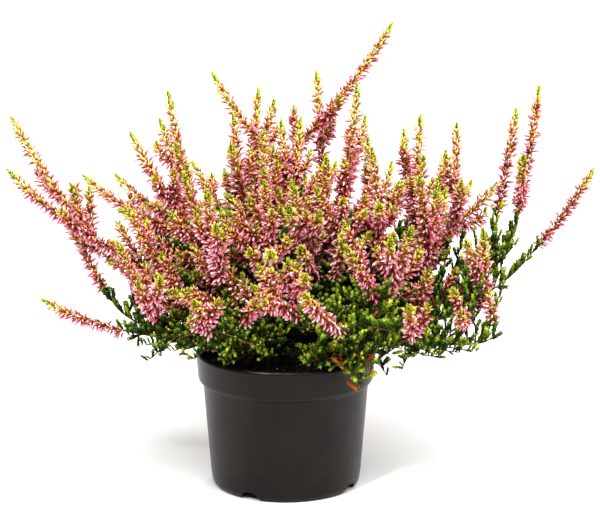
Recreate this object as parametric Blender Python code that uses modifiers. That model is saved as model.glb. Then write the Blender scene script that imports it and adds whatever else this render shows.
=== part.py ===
"""A pot-grown heather (Calluna) in a round plastic nursery pot.

Metres, +Z up. The origin is the middle of the pot's flat underside, on the surface that it stands on,
and -Y is the side that faces the viewer. Lengths below are in millimetres, and MM turns them to metres.
"""

import math
from dataclasses import dataclass

import bmesh
import bpy
import numpy as np

MM = 0.001
GAP = 0.3  # clearance between pieces that touch
WELD = 0.00001  # metres; vertices nearer than this are one

# Pot: a 12 cm nursery pot with a deep rim band, and four short drain channels under its edge
RIM_RADIUS = 60.0
POT_HEIGHT = 92.0
BAND_RADIUS = 58.5
BAND_FOOT = 70.8
WALL_TOP_RADIUS = 55.0
WALL_FOOT_RADIUS = 50.2
FOOT_RADIUS = 47.6
WALL = 1.2
POT_STEPS = 36
CHANNELS = 4
CHANNEL_TURN = math.radians(-29.0)  # the first channel, from the front towards the right
CHANNEL_START = 27.0  # from the pot's axis
CHANNEL_HEIGHT = 5.2
CHANNEL_HALF_WIDTH = 8.1
CHANNEL_HALF_TOP = 3.7
DRAIN_RADIUS = 2.6
DRAIN_CIRCLE = 37.0

# Soil: peat up to a little below the rim, with a plain hole for each woody stem
SOIL_TOP = 83.0
SOIL_EDGE = 81.0
SOIL_STEPS = 24
HOLE_RADIUS = 2.7
HOLE_DEPTH = 22.0
HOLE_SIDES = 6
COLLAR = 3.0  # how far a stem rises straight out of the soil

# Stems and what grows on them
STEM_ROOT_RADIUS = 1.8
STEM_FORK_RADIUS = 1.4
LEADER_RADIUS = 1.1
RACHIS_RADIUS = 0.95
STEM_SIDES = 4
SHOOT_REACH = 5.4  # side shoots on the leafy stems, from the stem's axis
SHOOT_RISE = 6.2
SHOOT_SPACING = 8.0
BUD_REACH = 4.6  # flower buds on the spikes, from the rachis's axis
BUD_RISE = 4.2
BUD_SPACING = 8.2
TIP_LENGTH = 11.0  # the scaly growing tip of a spike
TIP_REACH = 2.3
TIP_RISE = 2.6
TIP_SPACING = 6.0
TIP_END_RADIUS = 0.45
FIRST_FORK = 0.72  # the part of a trunk's length below its first fork
SAG = 0.12  # how far a leaning spike dips below the straight line to its tip, and turns up again
TURN_UP = 0.3

# Leafy twigs low on the branches, beside those that are placed by name
TWIG_LENGTH = 32.0
TWIG_ROUNDS = 14
TWIGS_EACH = 2  # at least, on a branch
ROOM_BETWEEN_NODES = 12.0
ROOM_WITHIN_NODE = 7.0
ROOM_OVER_RIM = 7.0
SEED = 7


@dataclass(frozen=True)
class Branch:
    """A woody stem: its hole in the soil, the point it grows to, and the ends of its low leafy twigs."""

    hole: tuple
    fork: tuple
    twigs: tuple = ()


@dataclass(frozen=True)
class Spike:
    """A flower spike: its branch, its tip, a point lower on its axis, the length in flower, and the
    side spikes on it as (tip, how far below the main tip it leaves)."""

    branch: str
    tip: tuple
    low: tuple
    bloom: float
    sides: tuple = ()


BRANCHES = {
    "low_left": Branch((-40, -10), (-78, -15, 104), ((-94, -32, 103), (-66, -44, 99))),
    "left": Branch((-36, 10), (-68, 5, 128)),
    "left_front": Branch((-27, -26), (-56, -36, 116), ((-62, -66, 102), (-38, -70, 104))),
    "centre_left": Branch((-20, 2), (-44, 6, 136)),
    "left_back": Branch((-22, 32), (-46, 48, 122)),
    "back_left": Branch((-6, 20), (-16, 28, 146)),
    "front_left": Branch((-12, -26), (-30, -44, 118), ((-14, -70, 104),)),
    "centre": Branch((-2, -4), (-4, -10, 138)),
    "centre_right": Branch((14, 2), (30, -6, 134)),
    "back": Branch((12, 26), (20, 44, 126)),
    "right": Branch((32, 10), (70, 12, 126)),
    "far_right": Branch((42, -2), (114, 0, 116)),
    "low_right": Branch((36, -22), (108, -32, 104), ((124, -48, 103), (82, -56, 101))),
    "front": Branch((16, -32), (44, -56, 105), ((50, -68, 88), (14, -72, 102), (70, -46, 101))),
}

SPIKES = {
    "low_left_1": Spike("low_left", (-159, -25, 132), (-114, -18, 111), 52),
    "low_left_2": Spike("low_left", (-140, 15, 168), (-116, 5, 124), 55),
    "left_1": Spike("left", (-183, 35, 242), (-127, 12, 163), 112, (((-141, -5, 205), 92),)),
    "left_2": Spike("left", (-181, -12, 216), (-128, -12, 172), 76),
    "left_back_1": Spike("left_back", (-138, 62, 197), (-85, 40, 167), 84),
    "left_front_1": Spike("left_front", (-103, -25, 194), (-83, -24, 156), 58),
    "left_front_2": Spike(
        "left_front", (-107, -52, 177), (-89, -42, 132), 62, (((-90, -32, 157), 42), ((-79, -76, 159), 56))
    ),
    "centre_left_1": Spike(
        "centre_left", (-78, 32, 260), (-66, 18, 203), 100, (((-85, 52, 238), 82), ((-72, 0, 231), 76))
    ),
    "centre_left_2": Spike("centre_left", (-102, 8, 237), (-73, 0, 189), 84),
    "back_left_1": Spike("back_left", (-50, 72, 266), (-8, 47, 211), 104),
    "back_left_2": Spike("back_left", (-35, 36, 245), (-28, 20, 188), 82, (((-36, 8, 230), 72),)),
    "back_left_3": Spike("back_left", (-19, 88, 253), (-23, 58, 207), 82, (((-8, 70, 248), 74),)),
    "front_left_1": Spike("front_left", (-65, -35, 219), (-52, -27, 171), 78, (((-74, -52, 196), 62),)),
    "front_left_2": Spike("front_left", (-50, -62, 213), (-46, -48, 169), 70, (((-43, -84, 195), 60),)),
    "front_left_3": Spike("front_left", (-57, -92, 148), (-50, -70, 125), 40, (((-42, -84, 146), 30),)),
    "centre_1": Spike("centre", (-15, -10, 241), (-12, -8, 191), 86),
    "centre_2": Spike("centre", (-13, -50, 216), (-10, -36, 174), 66, (((-9, -90, 179), 58),)),
    "centre_3": Spike("centre", (-3, 28, 242), (1, 14, 194), 78, (((10, 38, 241), 68),)),
    "centre_4": Spike(
        "centre", (4, -34, 213), (12, -28, 178), 66, (((2, -66, 204), 56), ((22, -58, 198), 50))
    ),
    "back_1": Spike("back", (71, 54, 302), (13, 52, 225), 132),
    "back_2": Spike("back", (21, 95, 263), (24, 64, 215), 90),
    "back_3": Spike("left_back", (-98, 102, 200), (-76, 78, 163), 76, (((-74, 92, 212), 60), ((-118, 82, 194), 60))),
    "back_4": Spike("left_back", (-44, 130, 188), (-36, 98, 158), 76, (((-66, 116, 196), 62), ((-24, 112, 203), 60))),
    "back_5": Spike("back", (13, 136, 184), (13, 102, 154), 76, (((35, 124, 194), 62), ((-7, 116, 198), 60))),
    "back_6": Spike("back", (74, 122, 194), (61, 92, 158), 78, (((96, 106, 202), 62), ((57, 104, 216), 62))),
    "back_7": Spike("right", (128, 88, 188), (106, 66, 154), 76, (((144, 62, 192), 60), ((110, 84, 210), 60))),
    "centre_right_1": Spike("centre_right", (27, -15, 226), (25, -10, 185), 72),
    "centre_right_2": Spike("centre_right", (47, 2, 270), (40, -3, 210), 100, (((53, 28, 244), 78),)),
    "centre_right_3": Spike("centre_right", (56, -24, 232), (61, -22, 190), 70, (((60, -54, 202), 58),)),
    "right_1": Spike("right", (90, 38, 243), (86, 22, 185), 92, (((80, 64, 228), 78), ((91, 8, 221), 76))),
    "right_2": Spike("right", (99, -18, 209), (97, -14, 169), 68, (((106, 4, 200), 56), ((86, -42, 217), 60))),
    "right_3": Spike("right", (114, 34, 238), (112, 16, 179), 90, (((116, 2, 206), 72),)),
    "far_right_1": Spike("far_right", (151, 4, 253), (139, -2, 182), 100),
    "far_right_2": Spike("far_right", (169, 40, 262), (155, 22, 178), 116, (((154, -22, 227), 88),)),
    "far_right_3": Spike("far_right", (202, 0, 214), (158, -5, 153), 104),
    "far_right_4": Spike("far_right", (128, -26, 180), (131, -22, 140), 62, (((116, -42, 176), 50),)),
    "low_right_1": Spike("low_right", (132, -32, 141), (136, -38, 116), 38),
    "low_right_2": Spike("low_right", (106, -80, 153), (114, -62, 131), 44),
    "front_1": Spike("front", (-20, -117, 164), (0, -92, 143), 54, (((-17, -96, 172), 40),)),
    "front_2": Spike("front", (12, -122, 160), (33, -90, 130), 58),
    "front_3": Spike("front", (2, -88, 173), (6, -72, 149), 46, (((13, -106, 168), 36),)),
    "front_4": Spike("front", (38, -96, 184), (53, -74, 154), 56, (((37, -70, 194), 50),)),
    "front_5": Spike("front", (80, -72, 191), (72, -56, 158), 62, (((66, -92, 188), 52),)),
    "front_6": Spike("front", (77, -108, 149), (80, -84, 126), 42),
}


def unit(vector):
    return vector / np.linalg.norm(vector)


def bezier(a, b, c, d, samples=40):
    t = np.linspace(0.0, 1.0, samples)[:, None]
    a, b, c, d = (np.array(p, float) for p in (a, b, c, d))
    return (1 - t) ** 3 * a + 3 * (1 - t) ** 2 * t * b + 3 * (1 - t) * t**2 * c + t**3 * d


class Path:
    """Curves joined end to end, walked by arc length in millimetres."""

    def __init__(self, *curves):
        self.points = np.concatenate([curves[0], *(curve[1:] for curve in curves[1:])])
        steps = np.linalg.norm(np.diff(self.points, axis=0), axis=1)
        self.marks = np.concatenate([[0.0], np.cumsum(steps)])
        self.length = float(self.marks[-1])

    def at(self, s):
        return np.array([np.interp(s, self.marks, self.points[:, i]) for i in range(3)])

    def heading(self, s, reach=1.5):
        low, high = max(s - reach, 0.0), min(s + reach, self.length)
        return unit(self.at(high) - self.at(low))

    def walk(self, start=0.0, end=None, spacing=3.0):
        end = self.length if end is None else end
        return np.array([self.at(s) for s in np.append(np.arange(start, end, spacing), end)])


def trunk_path(branch):
    """Straight up from the bottom of its hole and out of the soil, then over to the fork."""
    x, y = branch.hole
    up = np.array([0.0, 0.0, 1.0])
    root = np.array([x, y, SOIL_TOP - HOLE_DEPTH + GAP])
    collar = np.array([x, y, SOIL_TOP + COLLAR])
    fork = np.array(branch.fork, float)
    reach = np.linalg.norm(fork - collar)
    lean = unit(fork - collar)
    return Path(np.array([root, collar]), bezier(collar, collar + 0.35 * reach * up, fork - 0.35 * reach * lean, fork))


def leader_path(trunk, share, spike):
    """From a fork on the trunk through the spike's low point to its tip."""
    start_at = share * trunk.length
    start, low, tip = trunk.at(start_at), np.array(spike.low, float), np.array(spike.tip, float)
    rise, climb = np.linalg.norm(low - start), np.linalg.norm(tip - low)
    leaving = unit(0.8 * trunk.heading(start_at) + unit(low - start))
    up = np.array([0.0, 0.0, 1.0])
    through = unit(unit(tip - low) - SAG * up)
    ending = unit(unit(tip - low) + TURN_UP * up)
    return Path(
        bezier(start, start + 0.33 * rise * leaving, low - 0.33 * rise * through, low),
        bezier(low, low + 0.33 * climb * through, tip - 0.33 * climb * ending, tip),
    )


def side_path(leader, tip, drop):
    """From a main spike's rachis, drop below its tip, to the tip of a side spike."""
    start_at = leader.length - drop
    start, tip = leader.at(start_at), np.array(tip, float)
    reach = np.linalg.norm(tip - start)
    out = unit(0.6 * leader.heading(start_at) + unit(tip - start))
    ending = unit(0.5 * leader.heading(leader.length) + unit(tip - start))
    return Path(bezier(start, start + 0.35 * reach * out, tip - 0.35 * reach * ending, tip))


def twig_path(trunk, share, end):
    """A leafy twig that leaves its trunk sideways, arches a little and reaches its end nearly level."""
    start_at = share * trunk.length
    start, end = trunk.at(start_at), np.array(end, float)
    reach = np.linalg.norm(end - start)
    out = unit(0.4 * trunk.heading(start_at) + unit(end - start) + np.array([0.0, 0.0, 0.25]))
    return Path(bezier(start, start + 0.35 * reach * out, end - 0.3 * reach * unit(end - start), end))


class Plan:
    """Every stem of the plant as a path: trunks, leaders, side spikes and leafy twigs."""

    def __init__(self):
        self.trunks = {name: trunk_path(branch) for name, branch in BRANCHES.items()}
        self.leaders, self.sides = {}, {}
        for branch, trunk in self.trunks.items():
            names = sorted((n for n in SPIKES if SPIKES[n].branch == branch), key=lambda n: SPIKES[n].low[2])
            for i, name in enumerate(names):
                share = FIRST_FORK + (1.0 - FIRST_FORK) * (i + 1) / len(names)
                self.leaders[name] = leader_path(trunk, share, SPIKES[name])
                self.sides[name] = [side_path(self.leaders[name], *side) for side in SPIKES[name].sides]
        self.twigs = {
            name: [
                twig_path(self.trunks[name], 0.66 + 0.14 * i / max(1, len(branch.twigs) - 1), end)
                for i, end in enumerate(branch.twigs)
            ]
            for name, branch in BRANCHES.items()
        }
        self.grow_twigs()

    def foot(self, name):
        """How far along its leader a spike begins to flower."""
        return self.leaders[name].length - SPIKES[name].bloom

    def grow_twigs(self):
        """Twigs are tried round each branch in turn, and stay where there is room for them."""
        draw = np.random.default_rng(SEED)
        leafy = {name: [trunk.walk()] for name, trunk in self.trunks.items()}
        flowers = []
        for name, leader in self.leaders.items():
            leafy[SPIKES[name].branch].append(leader.walk(0.0, self.foot(name)))
            flowers += [leader.walk(self.foot(name)), *(side.walk() for side in self.sides[name])]
        for name, twigs in self.twigs.items():
            leafy[name] += [twig.walk(6.0) for twig in twigs]
        for _ in range(TWIG_ROUNDS):
            for name, trunk in self.trunks.items():
                x, y, _ = BRANCHES[name].fork
                turn = math.atan2(y, x) + math.radians(draw.uniform(-80, 80))
                climb = math.radians(draw.uniform(-6, 35))
                share, length = draw.uniform(0.62, 1.0), TWIG_LENGTH * draw.uniform(0.75, 1.25)
                if len(self.twigs[name]) >= TWIGS_EACH:
                    continue
                level = math.cos(climb)
                reach = np.array([level * math.cos(turn), level * math.sin(turn), math.sin(climb)])
                twig = twig_path(trunk, share, trunk.at(share * trunk.length) + length * reach)
                others = np.concatenate([*flowers, *(p for n in leafy if n != name for p in leafy[n])])
                if has_room(twig.walk(), others, np.concatenate(leafy[name])):
                    self.twigs[name].append(twig)
                    leafy[name].append(twig.walk(6.0))


def has_room(points, others, own):
    """Whether a twig stays clear of the pot's rim and soil, of other nodes, and of its own node's stems."""
    spread = np.linalg.norm(points[:, :2], axis=1)
    over_rim = (spread > RIM_RADIUS - 12) & (spread < RIM_RADIUS + 8)
    if (points[over_rim, 2] < POT_HEIGHT + ROOM_OVER_RIM).any() or (points[:, 2] < SOIL_TOP + 7).any():
        return False
    tail = points[len(points) // 2 :]
    return distance(points, others) > ROOM_BETWEEN_NODES and distance(tail, own) > ROOM_WITHIN_NODE


def distance(some, others):
    return np.linalg.norm(some[:, None] - others[None], axis=2).min()


def frames(path, stations):
    """The place, heading and two side directions at each station, carried along without twist."""
    side = np.array([0.3, -1.0, 0.1])
    found = []
    for s in stations:
        heading = path.heading(s)
        side = unit(side - side.dot(heading) * heading)
        found.append((path.at(s), heading, side, np.cross(heading, side)))
    return found


def wrapped_stem(name, path, stations):
    """A grid wrapped round a path. stations are (arc length, radius, reach, rise). Where reach is more than
    the radius, every other column is drawn out and up to a point, in a chequer from ring to ring."""
    bm = bmesh.new()
    rows = len(stations) - 1
    bmesh.ops.create_grid(bm, x_segments=STEM_SIDES, y_segments=rows, size=1.0)
    places = frames(path, [s for s, *_ in stations])
    points = set()
    for v in bm.verts:
        column = round((v.co.x + 1) / 2 * STEM_SIDES) % STEM_SIDES
        ring = round((v.co.y + 1) / 2 * rows)
        centre, heading, side, other = places[ring]
        _, radius, reach, rise = stations[ring]
        turn = math.tau * column / STEM_SIDES
        out = math.cos(turn) * side + math.sin(turn) * other
        drawn = reach > radius and (ring + column) % 2 == 0
        v.co = (centre + (reach if drawn else radius) * out + (rise if drawn else 0.0) * heading) * MM
        if drawn:
            points.add(v)
    for face in list(bm.faces):
        peak = next((v for v in face.verts if v in points), None)
        if peak:
            edges = [e for e in face.edges if peak in e.verts]
            bmesh.utils.face_split(face, *(e.other_vert(peak) for e in edges))
    bmesh.ops.remove_doubles(bm, verts=bm.verts, dist=WELD)
    bmesh.ops.holes_fill(bm, edges=bm.edges, sides=STEM_SIDES)
    bmesh.ops.triangulate(bm, faces=bm.faces)
    bmesh.ops.recalc_face_normals(bm, faces=bm.faces)
    return new_object(name, bm)


def new_object(name, bm):
    mesh = bpy.data.meshes.new(name)
    bm.to_mesh(mesh)
    bm.free()
    obj = bpy.data.objects.new(name, mesh)
    bpy.context.scene.collection.objects.link(obj)
    return obj


def spread(start, end, spacing):
    """Stations from start to end, about spacing apart, and none where there is no room."""
    if end < start:
        return []
    count = max(1, round((end - start) / spacing))
    return [start + (end - start) * i / count for i in range(count + 1)]


def spike_stations(start, end, bare):
    """Bare rachis, then flower buds that grow smaller upward, then the scaly growing tip."""
    length = end - start
    tip = min(TIP_LENGTH, 0.35 * length)
    stations = [(start, RACHIS_RADIUS, 0.0, 0.0)]
    for s in spread(start + min(bare, 0.25 * length), end - tip - 0.6 * BUD_SPACING, BUD_SPACING):
        share = (s - start) / length
        size = min(1.0, 0.8 + 0.5 * share, 1.7 - 1.1 * share)
        stations.append((s, RACHIS_RADIUS, BUD_REACH * size, BUD_RISE * size))
    for s in spread(end - tip, end - 0.3 * tip, TIP_SPACING):
        taper = 1.0 - 0.35 * (s - end + tip) / tip
        stations.append((s, 1.2 * taper, TIP_REACH * taper, TIP_RISE))
    return [*stations, (end, TIP_END_RADIUS, 0.0, 0.0)]


def leafy_stations(end, thick, thin, bare, leafy_to, last=None):
    """A leafy stem: bare wood, then side shoots; last closes it at another radius."""
    stations = [(0.0, thick, 0.0, 0.0)]
    for s in spread(bare, leafy_to, SHOOT_SPACING):
        radius = thick + (thin - thick) * s / end
        stations.append((s, radius, SHOOT_REACH, SHOOT_RISE))
    return [*stations, (end, last or thin, 0.0, 0.0)]


def fuse(body, others):
    """Joins the others into body with one union, and removes them."""
    together = bpy.data.collections.new("joined")
    bpy.context.scene.collection.children.link(together)
    for obj in others:
        bpy.context.scene.collection.objects.unlink(obj)
        together.objects.link(obj)
    union = body.modifiers.new("union", "BOOLEAN")
    union.operation = "UNION"
    union.operand_type = "COLLECTION"
    union.collection = together
    for solver in ("EXACT", "MANIFOLD"):
        union.solver = solver
        evaluated = body.evaluated_get(bpy.context.evaluated_depsgraph_get())
        joined = bpy.data.meshes.new_from_object(evaluated)
        if is_closed(joined):
            break
    keep_largest_shell(joined)
    body.modifiers.clear()
    body.data = joined
    for obj in others:
        bpy.data.objects.remove(obj)
    bpy.data.collections.remove(together)
    return body


def is_closed(mesh):
    bm = bmesh.new()
    bm.from_mesh(mesh)
    closed = all(len(edge.link_faces) == 2 for edge in bm.edges)
    bm.free()
    return closed


def keep_largest_shell(mesh):
    """Fills hollows that the union sealed, and drops loose scraps."""
    bm = bmesh.new()
    bm.from_mesh(mesh)
    left = set(bm.verts)
    shells = []
    while left:
        shell, edge_of_shell = set(), [left.pop()]
        while edge_of_shell:
            v = edge_of_shell.pop()
            shell.add(v)
            found = {e.other_vert(v) for e in v.link_edges} & left
            left -= found
            edge_of_shell.extend(found)
        shells.append(shell)
    shells.sort(key=len)
    bmesh.ops.delete(bm, geom=[v for shell in shells[:-1] for v in shell], context="VERTS")
    bm.to_mesh(mesh)
    bm.free()


def cut(body, *cutters):
    for cutter in cutters:
        hole = body.modifiers.new(cutter.name, "BOOLEAN")
        hole.operation = "DIFFERENCE"
        hole.object = cutter


def as_guide(obj, guides):
    """Keeps a cutter, drawn as wire."""
    obj.hide_render = True
    obj.display_type = "WIRE"
    bpy.context.scene.collection.objects.unlink(obj)
    guides.objects.link(obj)
    return obj


def turned(name, profile, steps):
    """A solid of revolution from (radius, height) points that run down its outer side."""
    mesh = bpy.data.meshes.new(name)
    points = [(r * MM, 0.0, z * MM) for r, z in profile]
    mesh.from_pydata(points, [(i, i + 1) for i in range(len(points) - 1)], [])
    obj = bpy.data.objects.new(name, mesh)
    bpy.context.scene.collection.objects.link(obj)
    screw = obj.modifiers.new("turn", "SCREW")
    screw.steps = screw.render_steps = steps
    screw.use_merge_vertices = True
    screw.merge_threshold = WELD
    return obj


def round_axis(radius, turn):
    """A point round the pot's axis; turn runs from the front towards the right."""
    return radius * math.sin(turn), -radius * math.cos(turn)


def channel_turns():
    return [CHANNEL_TURN + i * math.tau / CHANNELS for i in range(CHANNELS)]


def channels(name, grow, guides):
    """The spaces of the four drain channels, each narrower at its top, grown by a clearance."""
    bars = []
    slope = (CHANNEL_HALF_WIDTH - CHANNEL_HALF_TOP) / CHANNEL_HEIGHT
    for i, turn in enumerate(channel_turns()):
        bm = bmesh.new()
        bmesh.ops.create_cube(bm, size=2.0)
        for v in bm.verts:
            z = CHANNEL_HEIGHT + grow if v.co.z > 0 else -2.0
            half = CHANNEL_HALF_WIDTH + grow - slope * (z - grow)
            away = RIM_RADIUS if v.co.x > 0 else CHANNEL_START - grow
            v.co = (away * MM, v.co.y * half * MM, z * MM)
        bar = new_object(f"{name}_{i}", bm)
        bar.rotation_euler.z = turn - math.pi / 2
        bars.append(as_guide(bar, guides))
    return bars


def post(name, radius, low, high, place, sides):
    """A plain upright cylinder."""
    bm = bmesh.new()
    bmesh.ops.create_cone(
        bm, cap_ends=True, segments=sides, radius1=radius * MM, radius2=radius * MM, depth=(high - low) * MM
    )
    obj = new_object(name, bm)
    obj.location = (place[0] * MM, place[1] * MM, (low + high) / 2 * MM)
    return obj


def make_pot(guides):
    """A thin shell: the turned outside less the channels, then less an inside that keeps the wall."""
    pot = turned(
        "pot",
        [
            (0.0, POT_HEIGHT),
            (RIM_RADIUS - 0.8, POT_HEIGHT),
            (RIM_RADIUS, POT_HEIGHT - 0.9),
            (RIM_RADIUS - 0.4, POT_HEIGHT - 3.0),
            (BAND_RADIUS, BAND_FOOT + 2.6),
            (BAND_RADIUS - 1.0, BAND_FOOT + 0.5),
            (WALL_TOP_RADIUS, BAND_FOOT - 0.7),
            (WALL_FOOT_RADIUS, 9.0),
            (WALL_FOOT_RADIUS - 0.8, 3.2),
            (FOOT_RADIUS, 0.0),
            (0.0, 0.0),
        ],
        POT_STEPS,
    )
    inside = turned(
        "pot_inside",
        [
            (0.0, POT_HEIGHT + 3.0),
            (RIM_RADIUS - 1.9, POT_HEIGHT + 3.0),
            (RIM_RADIUS - 1.9, POT_HEIGHT - 3.6),
            (BAND_RADIUS - WALL, BAND_FOOT + 3.0),
            (WALL_TOP_RADIUS - WALL, BAND_FOOT + 0.7),
            (WALL_FOOT_RADIUS - WALL, 9.0),
            (WALL_FOOT_RADIUS - WALL - 1.0, 3.6),
            (FOOT_RADIUS - WALL, WALL + 0.2),
            (0.0, WALL + 0.2),
        ],
        POT_STEPS,
    )
    cut(inside, *channels("channel_over_wall", WALL, guides))
    cut(pot, *channels("channel", 0.0, guides), as_guide(inside, guides))
    for i, turn in enumerate(channel_turns()):
        drain = post(f"drain_{i}", DRAIN_RADIUS, 3.0, 9.0, round_axis(DRAIN_CIRCLE, turn), 8)
        cut(pot, as_guide(drain, guides))
    paint(pot, "pot plastic", (0.035, 0.03, 0.026), 0.42)
    return pot


def make_soil(guides):
    """Peat from the tops of the channels to a little below the rim."""
    clear = WALL + GAP + 0.2
    floor = CHANNEL_HEIGHT + WALL + 2 * GAP
    soil = turned(
        "soil",
        [
            (0.0, SOIL_TOP),
            (44.0, SOIL_TOP - 0.8),
            (BAND_RADIUS - clear, SOIL_EDGE),
            (BAND_RADIUS - clear, BAND_FOOT + 3.4),
            (WALL_TOP_RADIUS - clear, BAND_FOOT + 1.1),
            (WALL_FOOT_RADIUS - clear - 0.3, floor),
            (0.0, floor),
        ],
        SOIL_STEPS,
    )
    for name, branch in BRANCHES.items():
        hole = post(
            f"stem_hole_{name}", HOLE_RADIUS, SOIL_TOP - HOLE_DEPTH, SOIL_TOP + 4.0, branch.hole, HOLE_SIDES
        )
        cut(soil, as_guide(hole, guides))
    paint(soil, "peat", (0.022, 0.016, 0.012), 0.95)
    return soil


def make_leafy_branch(plan, branch):
    """A woody stem from its hole, its forks up to each spike's foot, and its leafy twigs."""
    trunk = plan.trunks[branch]
    bare = HOLE_DEPTH + COLLAR + 5.0
    leafy_to = FIRST_FORK * trunk.length
    rings = leafy_stations(trunk.length, STEM_ROOT_RADIUS, STEM_FORK_RADIUS, bare, leafy_to)
    out_of_soil = (HOLE_DEPTH + COLLAR, STEM_ROOT_RADIUS, 0.0, 0.0)
    body = wrapped_stem(f"leafy_branch_{branch}", trunk, [rings[0], out_of_soil, *rings[1:]])
    others = []
    for name, leader in plan.leaders.items():
        if SPIKES[name].branch == branch:
            end = plan.foot(name) - GAP / 2
            rings = leafy_stations(end, LEADER_RADIUS, RACHIS_RADIUS, 11.0, end - 0.6 * SHOOT_SPACING)
            others.append(wrapped_stem(f"leader_{name}", leader, rings))
    for i, twig in enumerate(plan.twigs[branch]):
        leafy_to = twig.length - 0.5 * SHOOT_SPACING
        rings = leafy_stations(twig.length, LEADER_RADIUS, RACHIS_RADIUS, 9.0, leafy_to, TIP_END_RADIUS)
        others.append(wrapped_stem(f"twig_{branch}_{i}", twig, rings))
    fuse(body, others)
    paint(body, "heather leaf", (0.06, 0.16, 0.03), 0.6)
    return body


def make_spike(plan, name):
    """A flower spike with its side spikes, from its foot on the leafy stem to the tips."""
    leader = plan.leaders[name]
    rings = spike_stations(plan.foot(name) + GAP / 2, leader.length, 5.0)
    body = wrapped_stem(f"flower_spike_{name}", leader, rings)
    others = [
        wrapped_stem(f"side_{name}_{i}", side, spike_stations(0.0, side.length, 8.0))
        for i, side in enumerate(plan.sides[name])
    ]
    if others:
        fuse(body, others)
    paint(body, "heather bud", (0.62, 0.13, 0.2), 0.55)
    return body


def paint(obj, name, colour, roughness):
    material = bpy.data.materials.get(name) or bpy.data.materials.new(name)
    material.use_nodes = True
    shader = material.node_tree.nodes["Principled BSDF"]
    shader.inputs["Base Color"].default_value = (*colour, 1.0)
    shader.inputs["Roughness"].default_value = roughness
    shader.inputs["Metallic"].default_value = 0.0
    obj.data.materials.clear()
    obj.data.materials.append(material)


def main():
    for obj in list(bpy.data.objects):
        bpy.data.objects.remove(obj)
    heather = bpy.data.collections.new("potted heather")
    guides = bpy.data.collections.new("cutters")
    bpy.context.scene.collection.children.link(heather)
    bpy.context.scene.collection.children.link(guides)
    plan = Plan()
    pieces = [make_pot(guides), make_soil(guides)]
    pieces += [make_leafy_branch(plan, branch) for branch in BRANCHES]
    pieces += [make_spike(plan, name) for name in SPIKES]
    for obj in pieces:
        bpy.context.scene.collection.objects.unlink(obj)
        heather.objects.link(obj)


main()
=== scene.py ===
"""The looks of a pot-grown heather in bud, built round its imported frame.

Lengths are in millimetres, and MM turns them to metres. +Z is up, -Y faces the viewer, and the pot's
foot stands on the origin. The stems follow the same paths as the frame's own, so that every piece stays
where its node is.
"""

import logging
import math
from dataclasses import dataclass, field, fields
from enum import Enum
from typing import Mapping, Optional, Sequence

import bpy
import numpy as np
from bpy.types import Material, Mesh, Node, NodeSocket, NodeTree, Object
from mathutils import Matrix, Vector, noise


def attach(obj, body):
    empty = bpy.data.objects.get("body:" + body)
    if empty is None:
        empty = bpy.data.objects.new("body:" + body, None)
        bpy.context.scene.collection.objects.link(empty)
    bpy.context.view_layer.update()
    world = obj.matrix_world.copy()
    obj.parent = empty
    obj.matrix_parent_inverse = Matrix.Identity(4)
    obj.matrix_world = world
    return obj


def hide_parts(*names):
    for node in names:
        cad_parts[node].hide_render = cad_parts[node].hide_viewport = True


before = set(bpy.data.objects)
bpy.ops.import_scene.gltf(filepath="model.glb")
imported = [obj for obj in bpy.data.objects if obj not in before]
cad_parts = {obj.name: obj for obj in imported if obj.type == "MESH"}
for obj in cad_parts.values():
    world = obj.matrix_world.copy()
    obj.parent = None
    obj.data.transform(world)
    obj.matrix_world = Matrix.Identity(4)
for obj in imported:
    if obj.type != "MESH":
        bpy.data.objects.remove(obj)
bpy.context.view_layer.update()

LOG = logging.getLogger("heather")
MM = 0.001
UP = np.array([0.0, 0.0, 1.0])
GOLDEN_TURN = math.radians(137.508)
BUD_BENDS = (-0.16, -0.05, 0.08)  # how far the tips of the kinds of bud swing up, in bud lengths
ROOT = "root"  # the one body that everything rides on


class Slot(Enum):
    """The record's material slots."""

    POT = "pot_plastic"
    PEAT = "peat"
    LEAF = "heather_leaf"
    FLOWER = "heather_flower"


class Part(Enum):
    """What a face of a growing piece belongs to. The value is its material's place on the piece."""

    WOOD = 0
    LEAF = 1
    TIP = 2
    BUD = 3
    BRACT = 4
    DRY = 5
    CRUMB = 6
    GRIT = 7


# The pot and the soil, as in the frame
RIM_RADIUS = 60.0
POT_HEIGHT = 92.0
BAND_RADIUS = 58.5
BAND_FOOT = 70.8
WALL_TOP_RADIUS = 55.0
WALL_FOOT_RADIUS = 50.2
FOOT_RADIUS = 47.6
WALL = 1.2
CHANNELS = 4
CHANNEL_TURN = math.radians(-29.0)  # the first channel, from the front towards the right
CHANNEL_START = 27.0  # from the pot's axis
CHANNEL_HEIGHT = 5.2
CHANNEL_HALF_WIDTH = 8.1
CHANNEL_HALF_TOP = 3.7
DRAIN_RADIUS = 2.6
DRAIN_CIRCLE = 37.0
SOIL_TOP = 83.0
SOIL_EDGE = 81.0
HOLE_DEPTH = 22.0
COLLAR = 3.0  # how far a stem rises straight out of the soil
GAP = 0.3

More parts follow.
